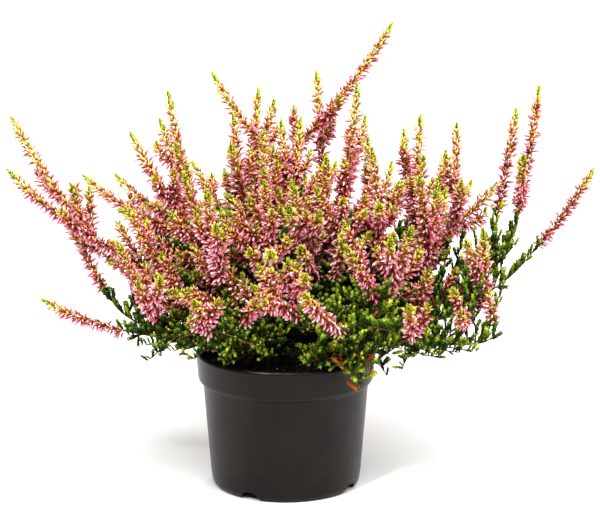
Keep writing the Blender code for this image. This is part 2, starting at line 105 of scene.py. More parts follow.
# How the stems run, as in the frame
FIRST_FORK = 0.72  # the part of a trunk's length below its first fork
SAG = 0.12  # how far a leaning spike dips below the straight line to its tip, and turns up again
TURN_UP = 0.3
HANDLE = 0.35  # how far a curve's handles reach, as a share of the way across it
LEADER_HANDLE = 0.33
LAST_HANDLE = 0.3
LEADER_FOLLOWS = 0.8  # how much of its own stem's direction a stem takes on where it leaves it
SIDE_FOLLOWS = 0.6
SIDE_ENDS_ALONG = 0.5  # and how much of its spike's last direction a side spike ends with
TWIG_FOLLOWS = 0.4
TWIG_ARCH = 0.25
TWIG_LENGTH = 32.0
TWIG_LENGTHS = (0.75, 1.25)  # as shares of it
TWIG_ROUNDS = 14
TWIGS_EACH = 2  # at least, on a branch
TWIG_FEET = (0.62, 1.0)  # where they leave a trunk, as shares of its length
NAMED_TWIG_FEET = (0.66, 0.14)  # the first one whose end is given, and the way to the last
TWIG_TURNS = (-80.0, 80.0)  # degrees from straight out
TWIG_CLIMBS = (-6.0, 35.0)  # degrees above level
TWIG_FOOT = 6.0  # the length that may be close to its own node's stems
ROOM_BETWEEN_NODES = 12.0
ROOM_WITHIN_NODE = 7.0
RIM_ZONE = (-12.0, 8.0)  # from the rim's radius, where stems stay above the lip
ROOM_OVER_RIM = 7.0
ROOM_OVER_SOIL = 7.0
TWIG_SEED = 7

# How the finer growth fills the spaces between them. A zone is egg-shaped, by its middle and reach
SPRAY_SPACING = 44.0  # millimetres of bloom for each short side spray
SPRAY_REACH = 130.0  # spikes further out to the left or right have none
SPRAY_HEIGHT = 125.0  # nor have lower ones
SPRAY_CEILING = 262.0  # and no spray ends above this
SPRAY_LENGTHS = (20.0, 36.0)
SPRAY_LIMIT = 0.62  # of the way left to the tip of what it grows on
SPRAY_SIDE_FOOT = 0.2  # the part of a side spike's length below its sprays
SPRAY_PART = 0.5  # the part of the bloom that they grow on, from its foot
SPRAY_WAY = (0.85, 0.62, 0.15)  # along the stem, away from it, and up
SPRAY_RISE = 0.35
SPRAY_HANDLE = 0.4
SPRAY_SEED = 400
CROWN_ZONES = (  # where short spikes end
    ((12.0, 5.0, 100.0), (116.0, 92.0, 128.0)),
    ((-88.0, 4.0, 162.0), (32.0, 42.0, 34.0)),
)
CROWN_MIDDLE = (12.0, 5.0)
CROWN_LENGTHS = (38.0, 78.0)
CROWN_STEM_FROM = 0.55  # the part of a trunk below them
CROWN_LEAN = (0.012, 0.75, 0.35)  # away from the middle for each millimetre, up, and by chance
CROWN_CHANCE = (1.0, 1.0, 0.3)  # as shares of that chance, for each axis
CROWN_CLEAR_FROM = 0.4  # the part of their length that may be close to others
CROWN_ROOM = 5.0
CROWN_FLOOR = 120.0  # and above which they flower
CROWN_ROUNDS = 120
CROWN_SEED = 52
LEAFY_ZONE = ((41.0, -70.0, 138.0), (33.0, 52.0, 27.0))  # in front, where leaves show between the flowers
SKIRT_ZONES = (  # where fine leafy twigs end
    ((14.0, 0.0, 104.0), (118.0, 96.0, 46.0)),
    ((0.0, 18.0, 142.0), (108.0, 60.0, 52.0)),
    ((120.0, -8.0, 136.0), (38.0, 36.0, 54.0)),
)
SKIRT_STEM_FROM = 0.4
SKIRT_TIMES = 2  # a trunk's chances to carry one, against one for each of its leaders
SKIRT_SPREAD = 1.3  # radians from straight out
SKIRT_CLIMBS = (-18.0, 70.0)
SKIRT_LENGTHS = (16.0, 36.0)
SKIRT_UPRIGHT = 84.0  # twigs further out to the right than this rise steeply, and are longer
SKIRT_UPRIGHT_CLIMBS = (44.0, 84.0)
SKIRT_UPRIGHT_LENGTHS = (16.0, 46.0)
SKIRT_ROOM = 4.4
SKIRT_OVER_RIM = 2.0
SKIRT_OVER_SOIL = 3.0
SKIRT_ROUNDS = 140
SKIRT_SEED = 61
SHADE_ZONE = ((4.0, 15.0, 130.0), (98.0, 56.0, 62.0))  # shoots in here are old ones, with their tones darkened as painted shade


@dataclass(frozen=True)
class Branch:
    """A woody stem: its hole in the soil, the point it grows to, the ends of its low leafy twigs, how much
    lighter or darker its leaves are, and the size and lift of its shoots."""

    hole: tuple
    fork: tuple
    twigs: tuple = ()
    tone: float = 0.0
    size: float = 1.0  # of its side shoots, as a share of the usual
    lift: float = 1.3  # how much they turn up to the light


@dataclass(frozen=True)
class Spike:
    """A flower spike: its branch, its tip, a point lower on its axis, the length in flower, the side
    spikes on it as (tip, how far below the main tip it leaves), and how far above its foot the flowers
    begin, with leafy shoots up to there, or below it if negative."""

    branch: str
    tip: tuple
    low: tuple
    bloom: float
    sides: tuple = ()
    begin: float = 0.0


BRANCHES: dict[str, Branch] = {
    "low_left": Branch((-40, -10), (-78, -15, 104), ((-94, -32, 103), (-66, -44, 99)), -0.2, 1.0, 1.5),
    "left": Branch((-36, 10), (-68, 5, 128)),
    "left_front": Branch((-27, -26), (-56, -36, 116), ((-62, -66, 102), (-38, -70, 104)), -0.14, 0.82),
    "centre_left": Branch((-20, 2), (-44, 6, 136)),
    "left_back": Branch((-22, 32), (-46, 48, 122)),
    "back_left": Branch((-6, 20), (-16, 28, 146)),
    "front_left": Branch((-12, -26), (-30, -44, 118), ((-14, -70, 104),), -0.1, 0.85),
    "centre": Branch((-2, -4), (-4, -10, 138)),
    "centre_right": Branch((14, 2), (30, -6, 134)),
    "back": Branch((12, 26), (20, 44, 126)),
    "right": Branch((32, 10), (70, 12, 126)),
    "far_right": Branch((42, -2), (114, 0, 116), (), -0.08, 0.95, 1.3),
    "low_right": Branch((36, -22), (108, -32, 104), ((124, -48, 103), (82, -56, 101)), -0.04, 0.92, 1.5),
    "front": Branch(
        (16, -32), (44, -56, 105), ((50, -68, 88), (14, -72, 102), (70, -46, 101)), 0.0, 1.12, 1.6
    ),
}

SPIKES: dict[str, Spike] = {
    "low_left_1": Spike("low_left", (-159, -25, 132), (-114, -18, 111), 52, begin=-6),
    "low_left_2": Spike("low_left", (-140, 15, 168), (-116, 5, 124), 55, begin=12),
    "left_1": Spike("left", (-183, 35, 242), (-127, 12, 163), 112, (((-141, -5, 205), 92),), -42),
    "left_2": Spike("left", (-181, -12, 216), (-128, -12, 172), 76, begin=-40),
    "left_back_1": Spike("left_back", (-138, 62, 197), (-85, 40, 167), 84, begin=-24),
    "left_front_1": Spike("left_front", (-103, -25, 194), (-83, -24, 156), 58, begin=-22),
    "left_front_2": Spike(
        "left_front", (-107, -52, 177), (-89, -42, 132), 62, (((-90, -32, 157), 42), ((-79, -76, 159), 56))
    ),
    "centre_left_1": Spike(
        "centre_left", (-78, 32, 260), (-66, 18, 203), 100, (((-85, 52, 238), 82), ((-72, 0, 231), 76))
    ),
    "centre_left_2": Spike("centre_left", (-102, 8, 237), (-73, 0, 189), 84),
    "back_left_1": Spike("back_left", (-50, 72, 266), (-8, 47, 211), 104),
    "back_left_2": Spike("back_left", (-35, 36, 245), (-28, 20, 188), 82, (((-36, 8, 230), 72),)),
    "back_left_3": Spike("back_left", (-19, 88, 253), (-23, 58, 207), 82, (((-8, 70, 248), 74),)),
    "front_left_1": Spike("front_left", (-65, -35, 219), (-52, -27, 171), 78, (((-74, -52, 196), 62),)),
    "front_left_2": Spike("front_left", (-50, -62, 213), (-46, -48, 169), 70, (((-43, -84, 195), 60),)),
    "front_left_3": Spike("front_left", (-57, -92, 148), (-50, -70, 125), 40, (((-42, -84, 146), 30),)),
    "centre_1": Spike("centre", (-15, -10, 241), (-12, -8, 191), 86),
    "centre_2": Spike("centre", (-13, -50, 216), (-10, -36, 174), 66, (((-9, -90, 179), 58),)),
    "centre_3": Spike("centre", (-3, 28, 242), (1, 14, 194), 78, (((10, 38, 241), 68),)),
    "centre_4": Spike(
        "centre", (4, -34, 213), (12, -28, 178), 66, (((2, -66, 204), 56), ((22, -58, 198), 50))
    ),
    "back_1": Spike("back", (71, 54, 302), (13, 52, 225), 132, begin=10),
    "back_2": Spike("back", (21, 95, 263), (24, 64, 215), 90),
    "back_3": Spike(
        "left_back", (-98, 102, 200), (-76, 78, 163), 76, (((-74, 92, 212), 60), ((-118, 82, 194), 60))
    ),
    "back_4": Spike(
        "left_back", (-44, 130, 188), (-36, 98, 158), 76, (((-66, 116, 196), 62), ((-24, 112, 203), 60))
    ),
    "back_5": Spike("back", (13, 136, 184), (13, 102, 154), 76, (((35, 124, 194), 62), ((-7, 116, 198), 60))),
    "back_6": Spike("back", (74, 122, 194), (61, 92, 158), 78, (((96, 106, 202), 62), ((57, 104, 216), 62))),
    "back_7": Spike(
        "right", (128, 88, 188), (106, 66, 154), 76, (((144, 62, 192), 60), ((110, 84, 210), 60))
    ),
    "centre_right_1": Spike("centre_right", (27, -15, 226), (25, -10, 185), 72),
    "centre_right_2": Spike("centre_right", (47, 2, 270), (40, -3, 210), 100, (((53, 28, 244), 78),)),
    "centre_right_3": Spike("centre_right", (56, -24, 232), (61, -22, 190), 70, (((60, -54, 202), 58),)),
    "right_1": Spike("right", (90, 38, 243), (86, 22, 185), 92, (((80, 64, 228), 78), ((91, 8, 221), 76))),
    "right_2": Spike(
        "right", (99, -18, 209), (97, -14, 169), 68, (((106, 4, 200), 56), ((86, -42, 217), 60))
    ),
    "right_3": Spike("right", (114, 34, 238), (112, 16, 179), 90, (((116, 2, 206), 72),)),
    "far_right_1": Spike("far_right", (151, 4, 253), (139, -2, 182), 100, begin=30),
    "far_right_2": Spike("far_right", (169, 40, 262), (155, 22, 178), 116, (((154, -22, 227), 88),), 38),
    "far_right_3": Spike("far_right", (202, 0, 214), (158, -5, 153), 104, begin=41),
    "far_right_4": Spike("far_right", (128, -26, 180), (131, -22, 140), 62, (((116, -42, 176), 50),)),
    "low_right_1": Spike("low_right", (132, -32, 141), (136, -38, 116), 38, begin=13),
    "low_right_2": Spike("low_right", (106, -80, 153), (114, -62, 131), 44),
    "front_1": Spike("front", (-20, -117, 164), (0, -92, 143), 54, (((-17, -96, 172), 40),)),
    "front_2": Spike("front", (12, -122, 160), (33, -90, 130), 58),
    "front_3": Spike("front", (2, -88, 173), (6, -72, 149), 46, (((13, -106, 168), 36),)),
    "front_4": Spike("front", (38, -96, 184), (53, -74, 154), 56, (((37, -70, 194), 50),)),
    "front_5": Spike("front", (80, -72, 191), (72, -56, 158), 62, (((66, -92, 188), 52),)),
    "front_6": Spike("front", (77, -108, 149), (80, -84, 126), 42),
}


@dataclass(frozen=True)
class Wisp:
    """A weak low twig: the three points that its curve bends to and ends at, what its shoots are, how
    light, their size, and how much of its length they cover. Those of the front branch hang over the rim."""

    ends: tuple
    part: Part
    tone: float
    size: float
    share: float


WISPS: dict[str, tuple] = {
    "low_left": (
        Wisp(((-78, -28, 106), (-84, -38, 103), (-80, -50, 101)), Part.LEAF, 0.4, 1.0, 0.8),
        Wisp(((-84, -22, 109), (-92, -26, 108), (-102, -30, 109)), Part.LEAF, 0.3, 1.0, 0.8),
    ),
    "far_right": (
        Wisp(((98, -2, 122), (104, 0, 138), (107, 2, 160)), Part.LEAF, 0.06, 1.0, 0.9),
        Wisp(((102, 8, 124), (114, 12, 140), (117, 8, 166)), Part.LEAF, 0.0, 1.0, 0.9),
        Wisp(((98, -12, 120), (99, -22, 130), (100, -24, 148)), Part.LEAF, 0.1, 1.0, 0.9),
    ),
    "low_right": (
        Wisp(((84, -38, 106), (98, -46, 103), (112, -54, 104)), Part.LEAF, 0.2, 1.0, 0.8),
        Wisp(((70, -42, 107), (84, -52, 102), (98, -62, 103)), Part.LEAF, 0.25, 1.0, 0.8),
        Wisp(((96, -26, 108), (112, -24, 108), (124, -20, 118)), Part.LEAF, 0.1, 1.0, 0.8),
    ),
    "front": (
        Wisp(((30, -53, 109), (38, -54, 98), (40, -53, 84)), Part.DRY, 0.3, 0.95, 0.35),
        Wisp(((42, -51, 107), (53, -50, 98), (55, -45, 88)), Part.DRY, 0.12, 0.95, 0.3),
        Wisp(((46, -54, 104), (55, -55, 98), (48, -57, 80)), Part.LEAF, 0.85, 1.2, 0.4),
        Wisp(((52, -50, 105), (60, -46, 97), (66, -42, 85)), Part.LEAF, 0.05, 0.8, 0.3),
    ),
}


def unit(vectors: np.ndarray) -> np.ndarray:
    """Scales a vector, or each row of an array of them, to length 1."""
    return vectors / np.linalg.norm(vectors, axis=-1, keepdims=True)


def around(turn: np.ndarray, side: np.ndarray, other: np.ndarray) -> np.ndarray:
    """Directions at turns, in radians, from one side towards the other."""
    return np.cos(turn)[:, None] * side + np.sin(turn)[:, None] * other


def leant(degrees: np.ndarray, headings: np.ndarray, out: np.ndarray) -> np.ndarray:
    """Headings, each of them leant by an angle towards its way out."""
    lean = np.radians(degrees)[:, None]
    return np.cos(lean) * headings + np.sin(lean) * out


def direction(turn: float, climb: float) -> np.ndarray:
    """The direction at a turn round +Z and a climb above level, both in radians."""
    level = math.cos(climb)
    return np.array([level * math.cos(turn), level * math.sin(turn), math.sin(climb)])


def between(s: float | np.ndarray, marks: np.ndarray, rows: np.ndarray) -> np.ndarray:
    """The rows of an array at arc lengths between its marks."""
    return np.stack([np.interp(s, marks, rows[:, i]) for i in range(3)], axis=-1)


def bezier(a: Sequence, b: Sequence, c: Sequence, d: Sequence, samples: int = 40) -> np.ndarray:
    """Samples a cubic curve.

    Args:
        a, b, c, d: its four control points.
        samples: how many points are wanted.

    Returns:
        The points, one a row.
    """
    t = np.linspace(0.0, 1.0, samples)[:, None]
    a, b, c, d = (np.array(p, float) for p in (a, b, c, d))
    return (1 - t) ** 3 * a + 3 * (1 - t) ** 2 * t * b + 3 * (1 - t) * t**2 * c + t**3 * d


class Path:
    """Curves joined end to end, walked by arc length in millimetres."""

    def __init__(self, *curves: np.ndarray) -> None:
        """Joins the curves, each of which starts where the last one ends."""
        self.points = np.concatenate([curves[0], *(curve[1:] for curve in curves[1:])])
        steps = np.linalg.norm(np.diff(self.points, axis=0), axis=1)
        self.marks = np.concatenate([[0.0], np.cumsum(steps)])
        self.length = float(self.marks[-1])

    def at(self, s: float | np.ndarray) -> np.ndarray:
        """The point, or points, at an arc length."""
        return between(s, self.marks, self.points)

    def heading(self, s: float, reach: float = 1.5) -> np.ndarray:
        """The direction of the path at an arc length."""
        low, high = max(s - reach, 0.0), min(s + reach, self.length)
        return unit(self.at(high) - self.at(low))

    def walk(self, start: float = 0.0, end: Optional[float] = None, spacing: float = 3.0) -> np.ndarray:
        """Points from start to end, spacing apart, with the end itself."""
        end = self.length if end is None else end
        return self.at(np.append(np.arange(start, end, spacing), end))


def trunk_path(branch: Branch) -> Path:
    """Straight up from the bottom of its hole and out of the soil, then over to the fork."""
    x, y = branch.hole
    root = np.array([x, y, SOIL_TOP - HOLE_DEPTH + GAP])
    collar = np.array([x, y, SOIL_TOP + COLLAR])
    fork = np.array(branch.fork, float)
    reach = np.linalg.norm(fork - collar)
    lean = unit(fork - collar)
    curve = bezier(collar, collar + HANDLE * reach * UP, fork - HANDLE * reach * lean, fork)
    return Path(np.array([root, collar]), curve)


def leader_path(trunk: Path, share: float, spike: Spike) -> Path:
    """From a fork on the trunk through the spike's low point to its tip."""
    start_at = share * trunk.length
    start, low, tip = trunk.at(start_at), np.array(spike.low, float), np.array(spike.tip, float)
    rise, climb = np.linalg.norm(low - start), np.linalg.norm(tip - low)
    leaving = unit(LEADER_FOLLOWS * trunk.heading(start_at) + unit(low - start))
    through = unit(unit(tip - low) - SAG * UP)
    ending = unit(unit(tip - low) + TURN_UP * UP)
    return Path(
        bezier(start, start + LEADER_HANDLE * rise * leaving, low - LEADER_HANDLE * rise * through, low),
        bezier(low, low + LEADER_HANDLE * climb * through, tip - LEADER_HANDLE * climb * ending, tip),
    )


def side_path(leader: Path, tip: Sequence, drop: float) -> Path:
    """From a main spike's rachis, drop below its tip, to the tip of a side spike."""
    start_at = leader.length - drop
    start, tip = leader.at(start_at), np.array(tip, float)
    reach = np.linalg.norm(tip - start)
    out = unit(SIDE_FOLLOWS * leader.heading(start_at) + unit(tip - start))
    ending = unit(SIDE_ENDS_ALONG * leader.heading(leader.length) + unit(tip - start))
    return Path(bezier(start, start + HANDLE * reach * out, tip - HANDLE * reach * ending, tip))


def twig_path(trunk: Path, share: float, end: Sequence) -> Path:
    """A leafy twig that leaves its stem sideways, arches a little and reaches its end nearly level."""
    start_at = share * trunk.length
    start, end = trunk.at(start_at), np.array(end, float)
    reach = np.linalg.norm(end - start)
    out = unit(TWIG_FOLLOWS * trunk.heading(start_at) + unit(end - start) + TWIG_ARCH * UP)
    handle = end - LAST_HANDLE * reach * unit(end - start)
    return Path(bezier(start, start + HANDLE * reach * out, handle, end))


def distance(some: np.ndarray, others: np.ndarray) -> float:
    """The least distance between two sets of points."""
    return float(np.linalg.norm(some[:, None] - others[None], axis=2).min())


def clears_pot(points: np.ndarray, over_rim: float, over_soil: float) -> bool:
    """Whether points stay that far above the pot's rim and above the soil."""
    spread = np.linalg.norm(points[:, :2], axis=1)
    near_rim = (spread > RIM_RADIUS + RIM_ZONE[0]) & (spread < RIM_RADIUS + RIM_ZONE[1])
    return not ((points[near_rim, 2] < POT_HEIGHT + over_rim).any() or (points[:, 2] < over_soil).any())


def inside(points: np.ndarray, *zones: tuple) -> np.ndarray:
    """Whether a point, or each row of an array of them, is inside any of the zones."""
    found = [
        (((points - np.array(middle)) / np.array(reach)) ** 2).sum(axis=-1) < 1.0 for middle, reach in zones
    ]
    return np.any(found, axis=0)


class Plan:
    """Every stem of the plant as a path: trunks, leaders, side spikes and leafy twigs, as the frame has
    them, and the sprays, short spikes and fine twigs that fill the spaces between them."""

    def __init__(self) -> None:
        """Lays out the stems as the frame has them, then the finer twigs between them."""
        self.trunks = {name: trunk_path(branch) for name, branch in BRANCHES.items()}
        self.leaders: dict[str, Path] = {}
        self.sides: dict[str, list[Path]] = {}
        for branch, trunk in self.trunks.items():
            names = sorted((n for n in SPIKES if SPIKES[n].branch == branch), key=lambda n: SPIKES[n].low[2])
            for i, name in enumerate(names):
                share = FIRST_FORK + (1.0 - FIRST_FORK) * (i + 1) / len(names)
                self.leaders[name] = leader_path(trunk, share, SPIKES[name])
                self.sides[name] = [side_path(self.leaders[name], *side) for side in SPIKES[name].sides]
        first, way = NAMED_TWIG_FEET
        self.twigs = {
            name: [
                twig_path(self.trunks[name], first + way * i / max(1, len(branch.twigs) - 1), end)
                for i, end in enumerate(branch.twigs)
            ]
            for name, branch in BRANCHES.items()
        }
        self.grow_twigs()
        self.sprays = {name: self.grow_sprays(name, i) for i, name in enumerate(SPIKES)}
        self.short_spikes: dict[str, list[Path]] = {name: [] for name in BRANCHES}
        self.fine_twigs: dict[str, list[Path]] = {name: [] for name in BRANCHES}
        self.fill_crown()
        self.fill_skirt()

    def foot(self, name: str) -> float:
        """How far along its leader a spike begins to flower."""
        return self.leaders[name].length - SPIKES[name].bloom

    def grow_twigs(self) -> None:
        """Twigs are tried round each branch in turn, and stay where there is room for them."""
        draw = np.random.default_rng(TWIG_SEED)
        leafy = {name: [trunk.walk()] for name, trunk in self.trunks.items()}
        flowers: list[np.ndarray] = []
        for name, leader in self.leaders.items():
            leafy[SPIKES[name].branch].append(leader.walk(0.0, self.foot(name)))
            flowers += [leader.walk(self.foot(name)), *(side.walk() for side in self.sides[name])]
        for name, twigs in self.twigs.items():
            leafy[name] += [twig.walk(TWIG_FOOT) for twig in twigs]
        for _ in range(TWIG_ROUNDS):
            for name, trunk in self.trunks.items():
                x, y, _ = BRANCHES[name].fork
                turn = math.atan2(y, x) + math.radians(draw.uniform(*TWIG_TURNS))
                climb = math.radians(draw.uniform(*TWIG_CLIMBS))
                share, length = draw.uniform(*TWIG_FEET), TWIG_LENGTH * draw.uniform(*TWIG_LENGTHS)
                if len(self.twigs[name]) >= TWIGS_EACH:
                    continue
                end = trunk.at(share * trunk.length) + length * direction(turn, climb)
                twig = twig_path(trunk, share, end)
                others = np.concatenate([*flowers, *(p for n in leafy if n != name for p in leafy[n])])
                if self.has_room(twig.walk(), others, np.concatenate(leafy[name])):
                    self.twigs[name].append(twig)
                    leafy[name].append(twig.walk(TWIG_FOOT))

    def grow_sprays(self, name: str, number: int) -> list[Path]:
        """Short flowering sprays on the lower part of a spike and of its side spikes."""
        draw = np.random.default_rng(SPRAY_SEED + number)
        found = []
        spike, leader = SPIKES[name], self.leaders[name]
        if abs(spike.low[0]) > SPRAY_REACH or spike.low[2] < SPRAY_HEIGHT:
            return found
        along, away, up = SPRAY_WAY
        stems = [(leader, self.foot(name))]
        stems += [(side, SPRAY_SIDE_FOOT * side.length) for side in self.sides[name]]
        for rachis, foot in stems:
            bloom = rachis.length - foot
            for _ in range(round(bloom / SPRAY_SPACING)):
                s = foot + draw.uniform(0.0, SPRAY_PART) * bloom
                heading = rachis.heading(s)
                across = unit(np.cross(heading, unit(draw.normal(size=3))))
                out = unit(along * heading + away * across + up * UP)
                reach = min(draw.uniform(*SPRAY_LENGTHS), SPRAY_LIMIT * (rachis.length - s))
                start = rachis.at(s)
                end = start + reach * unit(out + SPRAY_RISE * UP)
                if end[2] < SPRAY_CEILING and not inside(0.5 * (start + end), LEAFY_ZONE):
                    leaving, ending = start + SPRAY_HANDLE * reach * out, end - LAST_HANDLE * reach * UP
                    found.append(Path(bezier(start, leaving, ending, end, 12)))
        return found

    def lines(self) -> np.ndarray:
        """Points along every flowering stem laid out so far."""
        found = [leader.walk(self.foot(name)) for name, leader in self.leaders.items()]
        for group in (self.sides, self.sprays):
            found += [path.walk() for paths in group.values() for path in paths]
        return np.concatenate(found)

    def pick(self, name: str, draw: np.random.Generator, low: float, times: int = 1) -> tuple[Path, float]:
        """Picks a place on a branch's trunk or on the leafy part of one of its leaders.

        Args:
            name: the branch.
            draw: the source of chance.
            low: the part of the trunk's length where nothing is picked.
            times: how many chances the trunk has against one for each leader.

        Returns:
            The stem, and the place as an arc length on it.
        """
        trunk = self.trunks[name]
        stems = [(trunk, low * trunk.length, trunk.length)] * times
        stems += [(self.leaders[n], 0.0, self.foot(n)) for n in self.leaders if SPIKES[n].branch == name]
        stem, start, end = stems[draw.integers(len(stems))]
        return stem, draw.uniform(start, end)

    def fill_crown(self) -> None:
        """Short spikes that rise inside the crown, where there is room between the others."""
        draw = np.random.default_rng(CROWN_SEED)
        taken = self.lines()
        outer, up, chance = CROWN_LEAN
        for _ in range(CROWN_ROUNDS):
            for name in self.trunks:
                stem, s = self.pick(name, draw, CROWN_STEM_FROM)
                start, heading = stem.at(s), stem.heading(s)
                away = np.array([*(start[:2] - np.array(CROWN_MIDDLE)), 0.0])
                lean = unit(outer * away + up * UP + chance * draw.normal(size=3) * CROWN_CHANCE)
                reach = draw.uniform(*CROWN_LENGTHS)
                end = start + reach * lean
                if not inside(end, *CROWN_ZONES):
                    continue
                out = unit(heading + lean)
                path = Path(bezier(start, start + HANDLE * reach * out, end - HANDLE * reach * lean, end, 16))
                upper = path.walk(CROWN_CLEAR_FROM * path.length)
                if inside(upper, LEAFY_ZONE).any():
                    continue
                if upper[0, 2] > CROWN_FLOOR and distance(upper, taken) > CROWN_ROOM:
                    self.short_spikes[name].append(path)
                    taken = np.concatenate([taken, upper])

    def fill_skirt(self) -> None:
        """Fine leafy twigs low on the trunks and leaders, so that the foot of the plant is full."""
        draw = np.random.default_rng(SKIRT_SEED)
        taken = np.concatenate([trunk.walk() for trunk in self.trunks.values()])
        for _ in range(SKIRT_ROUNDS):
            for name in self.trunks:
                stem, s = self.pick(name, draw, SKIRT_STEM_FROM, SKIRT_TIMES)
                start = stem.at(s)
                turn = math.atan2(start[1], start[0]) + draw.normal(0.0, SKIRT_SPREAD)
                far = start[0] > SKIRT_UPRIGHT
                climb = math.radians(draw.uniform(*(SKIRT_UPRIGHT_CLIMBS if far else SKIRT_CLIMBS)))
                reach = draw.uniform(*(SKIRT_UPRIGHT_LENGTHS if far else SKIRT_LENGTHS))
                twig = twig_path(stem, s / stem.length, start + reach * direction(turn, climb))
                points = twig.walk()
                if not clears_pot(points, SKIRT_OVER_RIM, SOIL_TOP + SKIRT_OVER_SOIL):
                    continue
                if not inside(points[-1], LEAFY_ZONE, *SKIRT_ZONES):
                    continue
                tail = points[len(points) // 2 :]
                if distance(tail, taken) > SKIRT_ROOM:
                    self.fine_twigs[name].append(twig)
                    taken = np.concatenate([taken, tail])

    def has_room(self, points: np.ndarray, others: np.ndarray, own: np.ndarray) -> bool:
        """Whether a twig stays clear of the pot, of other nodes, and of its own node's stems."""
        if not clears_pot(points, ROOM_OVER_RIM, SOIL_TOP + ROOM_OVER_SOIL):
            return False
        tail = points[len(points) // 2 :]
        return distance(points, others) > ROOM_BETWEEN_NODES and distance(tail, own) > ROOM_WITHIN_NODE


class Track:
    """A path with its heading and two side directions carried along it without twist."""

    STEP = 0.5
    FIRST_SIDE = (0.3, -1.0, 0.1)

    def __init__(self, path: Path) -> None:
        """Samples the path every half millimetre or so."""
        self.length = path.length
        self.marks = np.linspace(0.0, path.length, max(3, round(path.length / self.STEP) + 1))
        self.points = path.at(self.marks)
        self.headings = unit(np.gradient(self.points, axis=0))
        side = np.array(self.FIRST_SIDE)
        sides = []
        for heading in self.headings:
            side = unit(side - side.dot(heading) * heading)
            sides.append(side)
        self.sides = np.array(sides)

    def at(self, s: np.ndarray) -> tuple[np.ndarray, np.ndarray, np.ndarray, np.ndarray]:
        """Places, headings, sides and other sides at arc lengths.

        Args:
            s: arc lengths in millimetres.

        Returns:
            Four arrays, with a row for each arc length.
        """
        points, headings, sides = (
            between(s, self.marks, rows) for rows in (self.points, self.headings, self.sides)
        )
        headings = unit(headings)
        sides = unit(sides - (sides * headings).sum(axis=-1, keepdims=True) * headings)
        return points, headings, sides, np.cross(headings, sides)


@dataclass(frozen=True)
class Template:
    """A small closed mesh that is set out many times. It runs from 0 to 1 up +Z, and +X is its upper side.

    traits has a row for each point: how far along it lies, and how far out on a ridge, which on a bud marks a
    painted highlight.
    """

    points: np.ndarray
    faces: np.ndarray
    traits: np.ndarray


def ring_faces(rings: int, sides: int) -> np.ndarray:
    """Faces of a closed tube of rings, with a point before the first ring and one after the last.

    Args:
        rings: how many rings.
        sides: points in each ring.

    Returns:
        Triangles as rows of three point numbers.
    """
    here = np.arange(sides)
    ahead = (here + 1) % sides
    faces = []
    for ring in range(rings - 1):
        low, high = 1 + ring * sides, 1 + (ring + 1) * sides
        faces.append(np.stack([low + here, low + ahead, high + ahead], axis=1))
        faces.append(np.stack([low + here, high + ahead, high + here], axis=1))
    last = 1 + rings * sides
    top = last - sides
    faces.append(np.stack([np.zeros(sides, int), 1 + ahead, 1 + here], axis=1))
    faces.append(np.stack([np.full(sides, last), top + here, top + ahead], axis=1))
    return np.concatenate(faces)


def outward(points: np.ndarray, faces: np.ndarray) -> np.ndarray:
    """Turns the faces of a convex form so that they all look out."""
    corners = points[faces][:, :, :3]
    normals = np.cross(corners[:, 1] - corners[:, 0], corners[:, 2] - corners[:, 0])
    inward = ((corners.mean(axis=1) - points[:, :3].mean(axis=0)) * normals).sum(axis=1) < 0
    return np.where(inward[:, None], faces[:, ::-1], faces)


def bud_template(bend: float) -> Template:
    """A heather bud: four keeled sepals shut in a slim spindle, with a stalk that narrows below it.

    Args:
        bend: how far its tip swings to the upper side, in bud lengths.

    Returns:
        The bud, with keels a half width from its axis at the widest.
    """
    levels = ((0.12, 0.6), (0.42, 1.0), (0.78, 0.72))
    sides = 4
    points, traits = [(0.0, 0.0, -0.28)], [(0.0, 0.2)]
    for along, width in levels:
        for i in range(sides):
            turn = math.tau * (i + 0.5) / sides
            points.append((width * math.cos(turn), width * math.sin(turn), along))
            # every other keel is marked for a painted highlight; the keels between stay darker as painted
            # shade
            traits.append((along, float(i % 2)))
    points.append((0.0, 0.0, 1.0))
    traits.append((1.0, 0.6))
    placed = np.array(points)
    faces = outward(placed, ring_faces(len(levels), sides))
    return Template(np.column_stack([placed, bend * placed[:, 2] ** 2]), faces, np.array(traits))


def leaf_template() -> Template:
    """A scale leaf: hollow inside and keeled outside, widest past its middle."""
    points = np.array([[0.0, 0.0, 0.0], [-0.55, 1.0, 0.56], [-0.55, -1.0, 0.56], [0.0, 0.0, 1.0]])
    faces = outward(points, np.array([[0, 1, 2], [0, 1, 3], [0, 2, 3], [1, 2, 3]]))
    traits = np.array([(0.0, 0.5), (0.4, 0.0), (0.4, 0.0), (1.0, 1.0)])
    return Template(np.column_stack([points, np.zeros(4)]), faces, traits)


def grain_template(seed: int) -> Template:
    """An uneven eight-sided lump, half its length either side of its place.

    Args:
        seed: for its unevenness.

    Returns:
        The lump.
    """
    draw = np.random.default_rng(seed)
    corners = np.array([(0, 0, -0.5), (1, 0, 0), (0, 1, 0), (-1, 0, 0), (0, -1, 0), (0, 0, 0.5)], float)
    points = corners * draw.uniform(0.7, 1.2, (6, 1)) + draw.normal(0.0, 0.08, (6, 3))
    faces = outward(points, ring_faces(1, 4))
    return Template(np.column_stack([points, np.zeros(6)]), faces, np.full((6, 2), 0.5))


@dataclass
class Copies:
    """Where copies of a template go, with a row of each array for each copy."""

    places: np.ndarray
    axes: np.ndarray
    uppers: np.ndarray
    lengths: np.ndarray
    widths: np.ndarray
    tones: np.ndarray

    def where(self, chosen: np.ndarray) -> "Copies":
        """The chosen ones."""
        return Copies(*(getattr(self, rows.name)[chosen] for rows in fields(self)))

    def __len__(self) -> int:
        """How many there are."""
        return len(self.places)


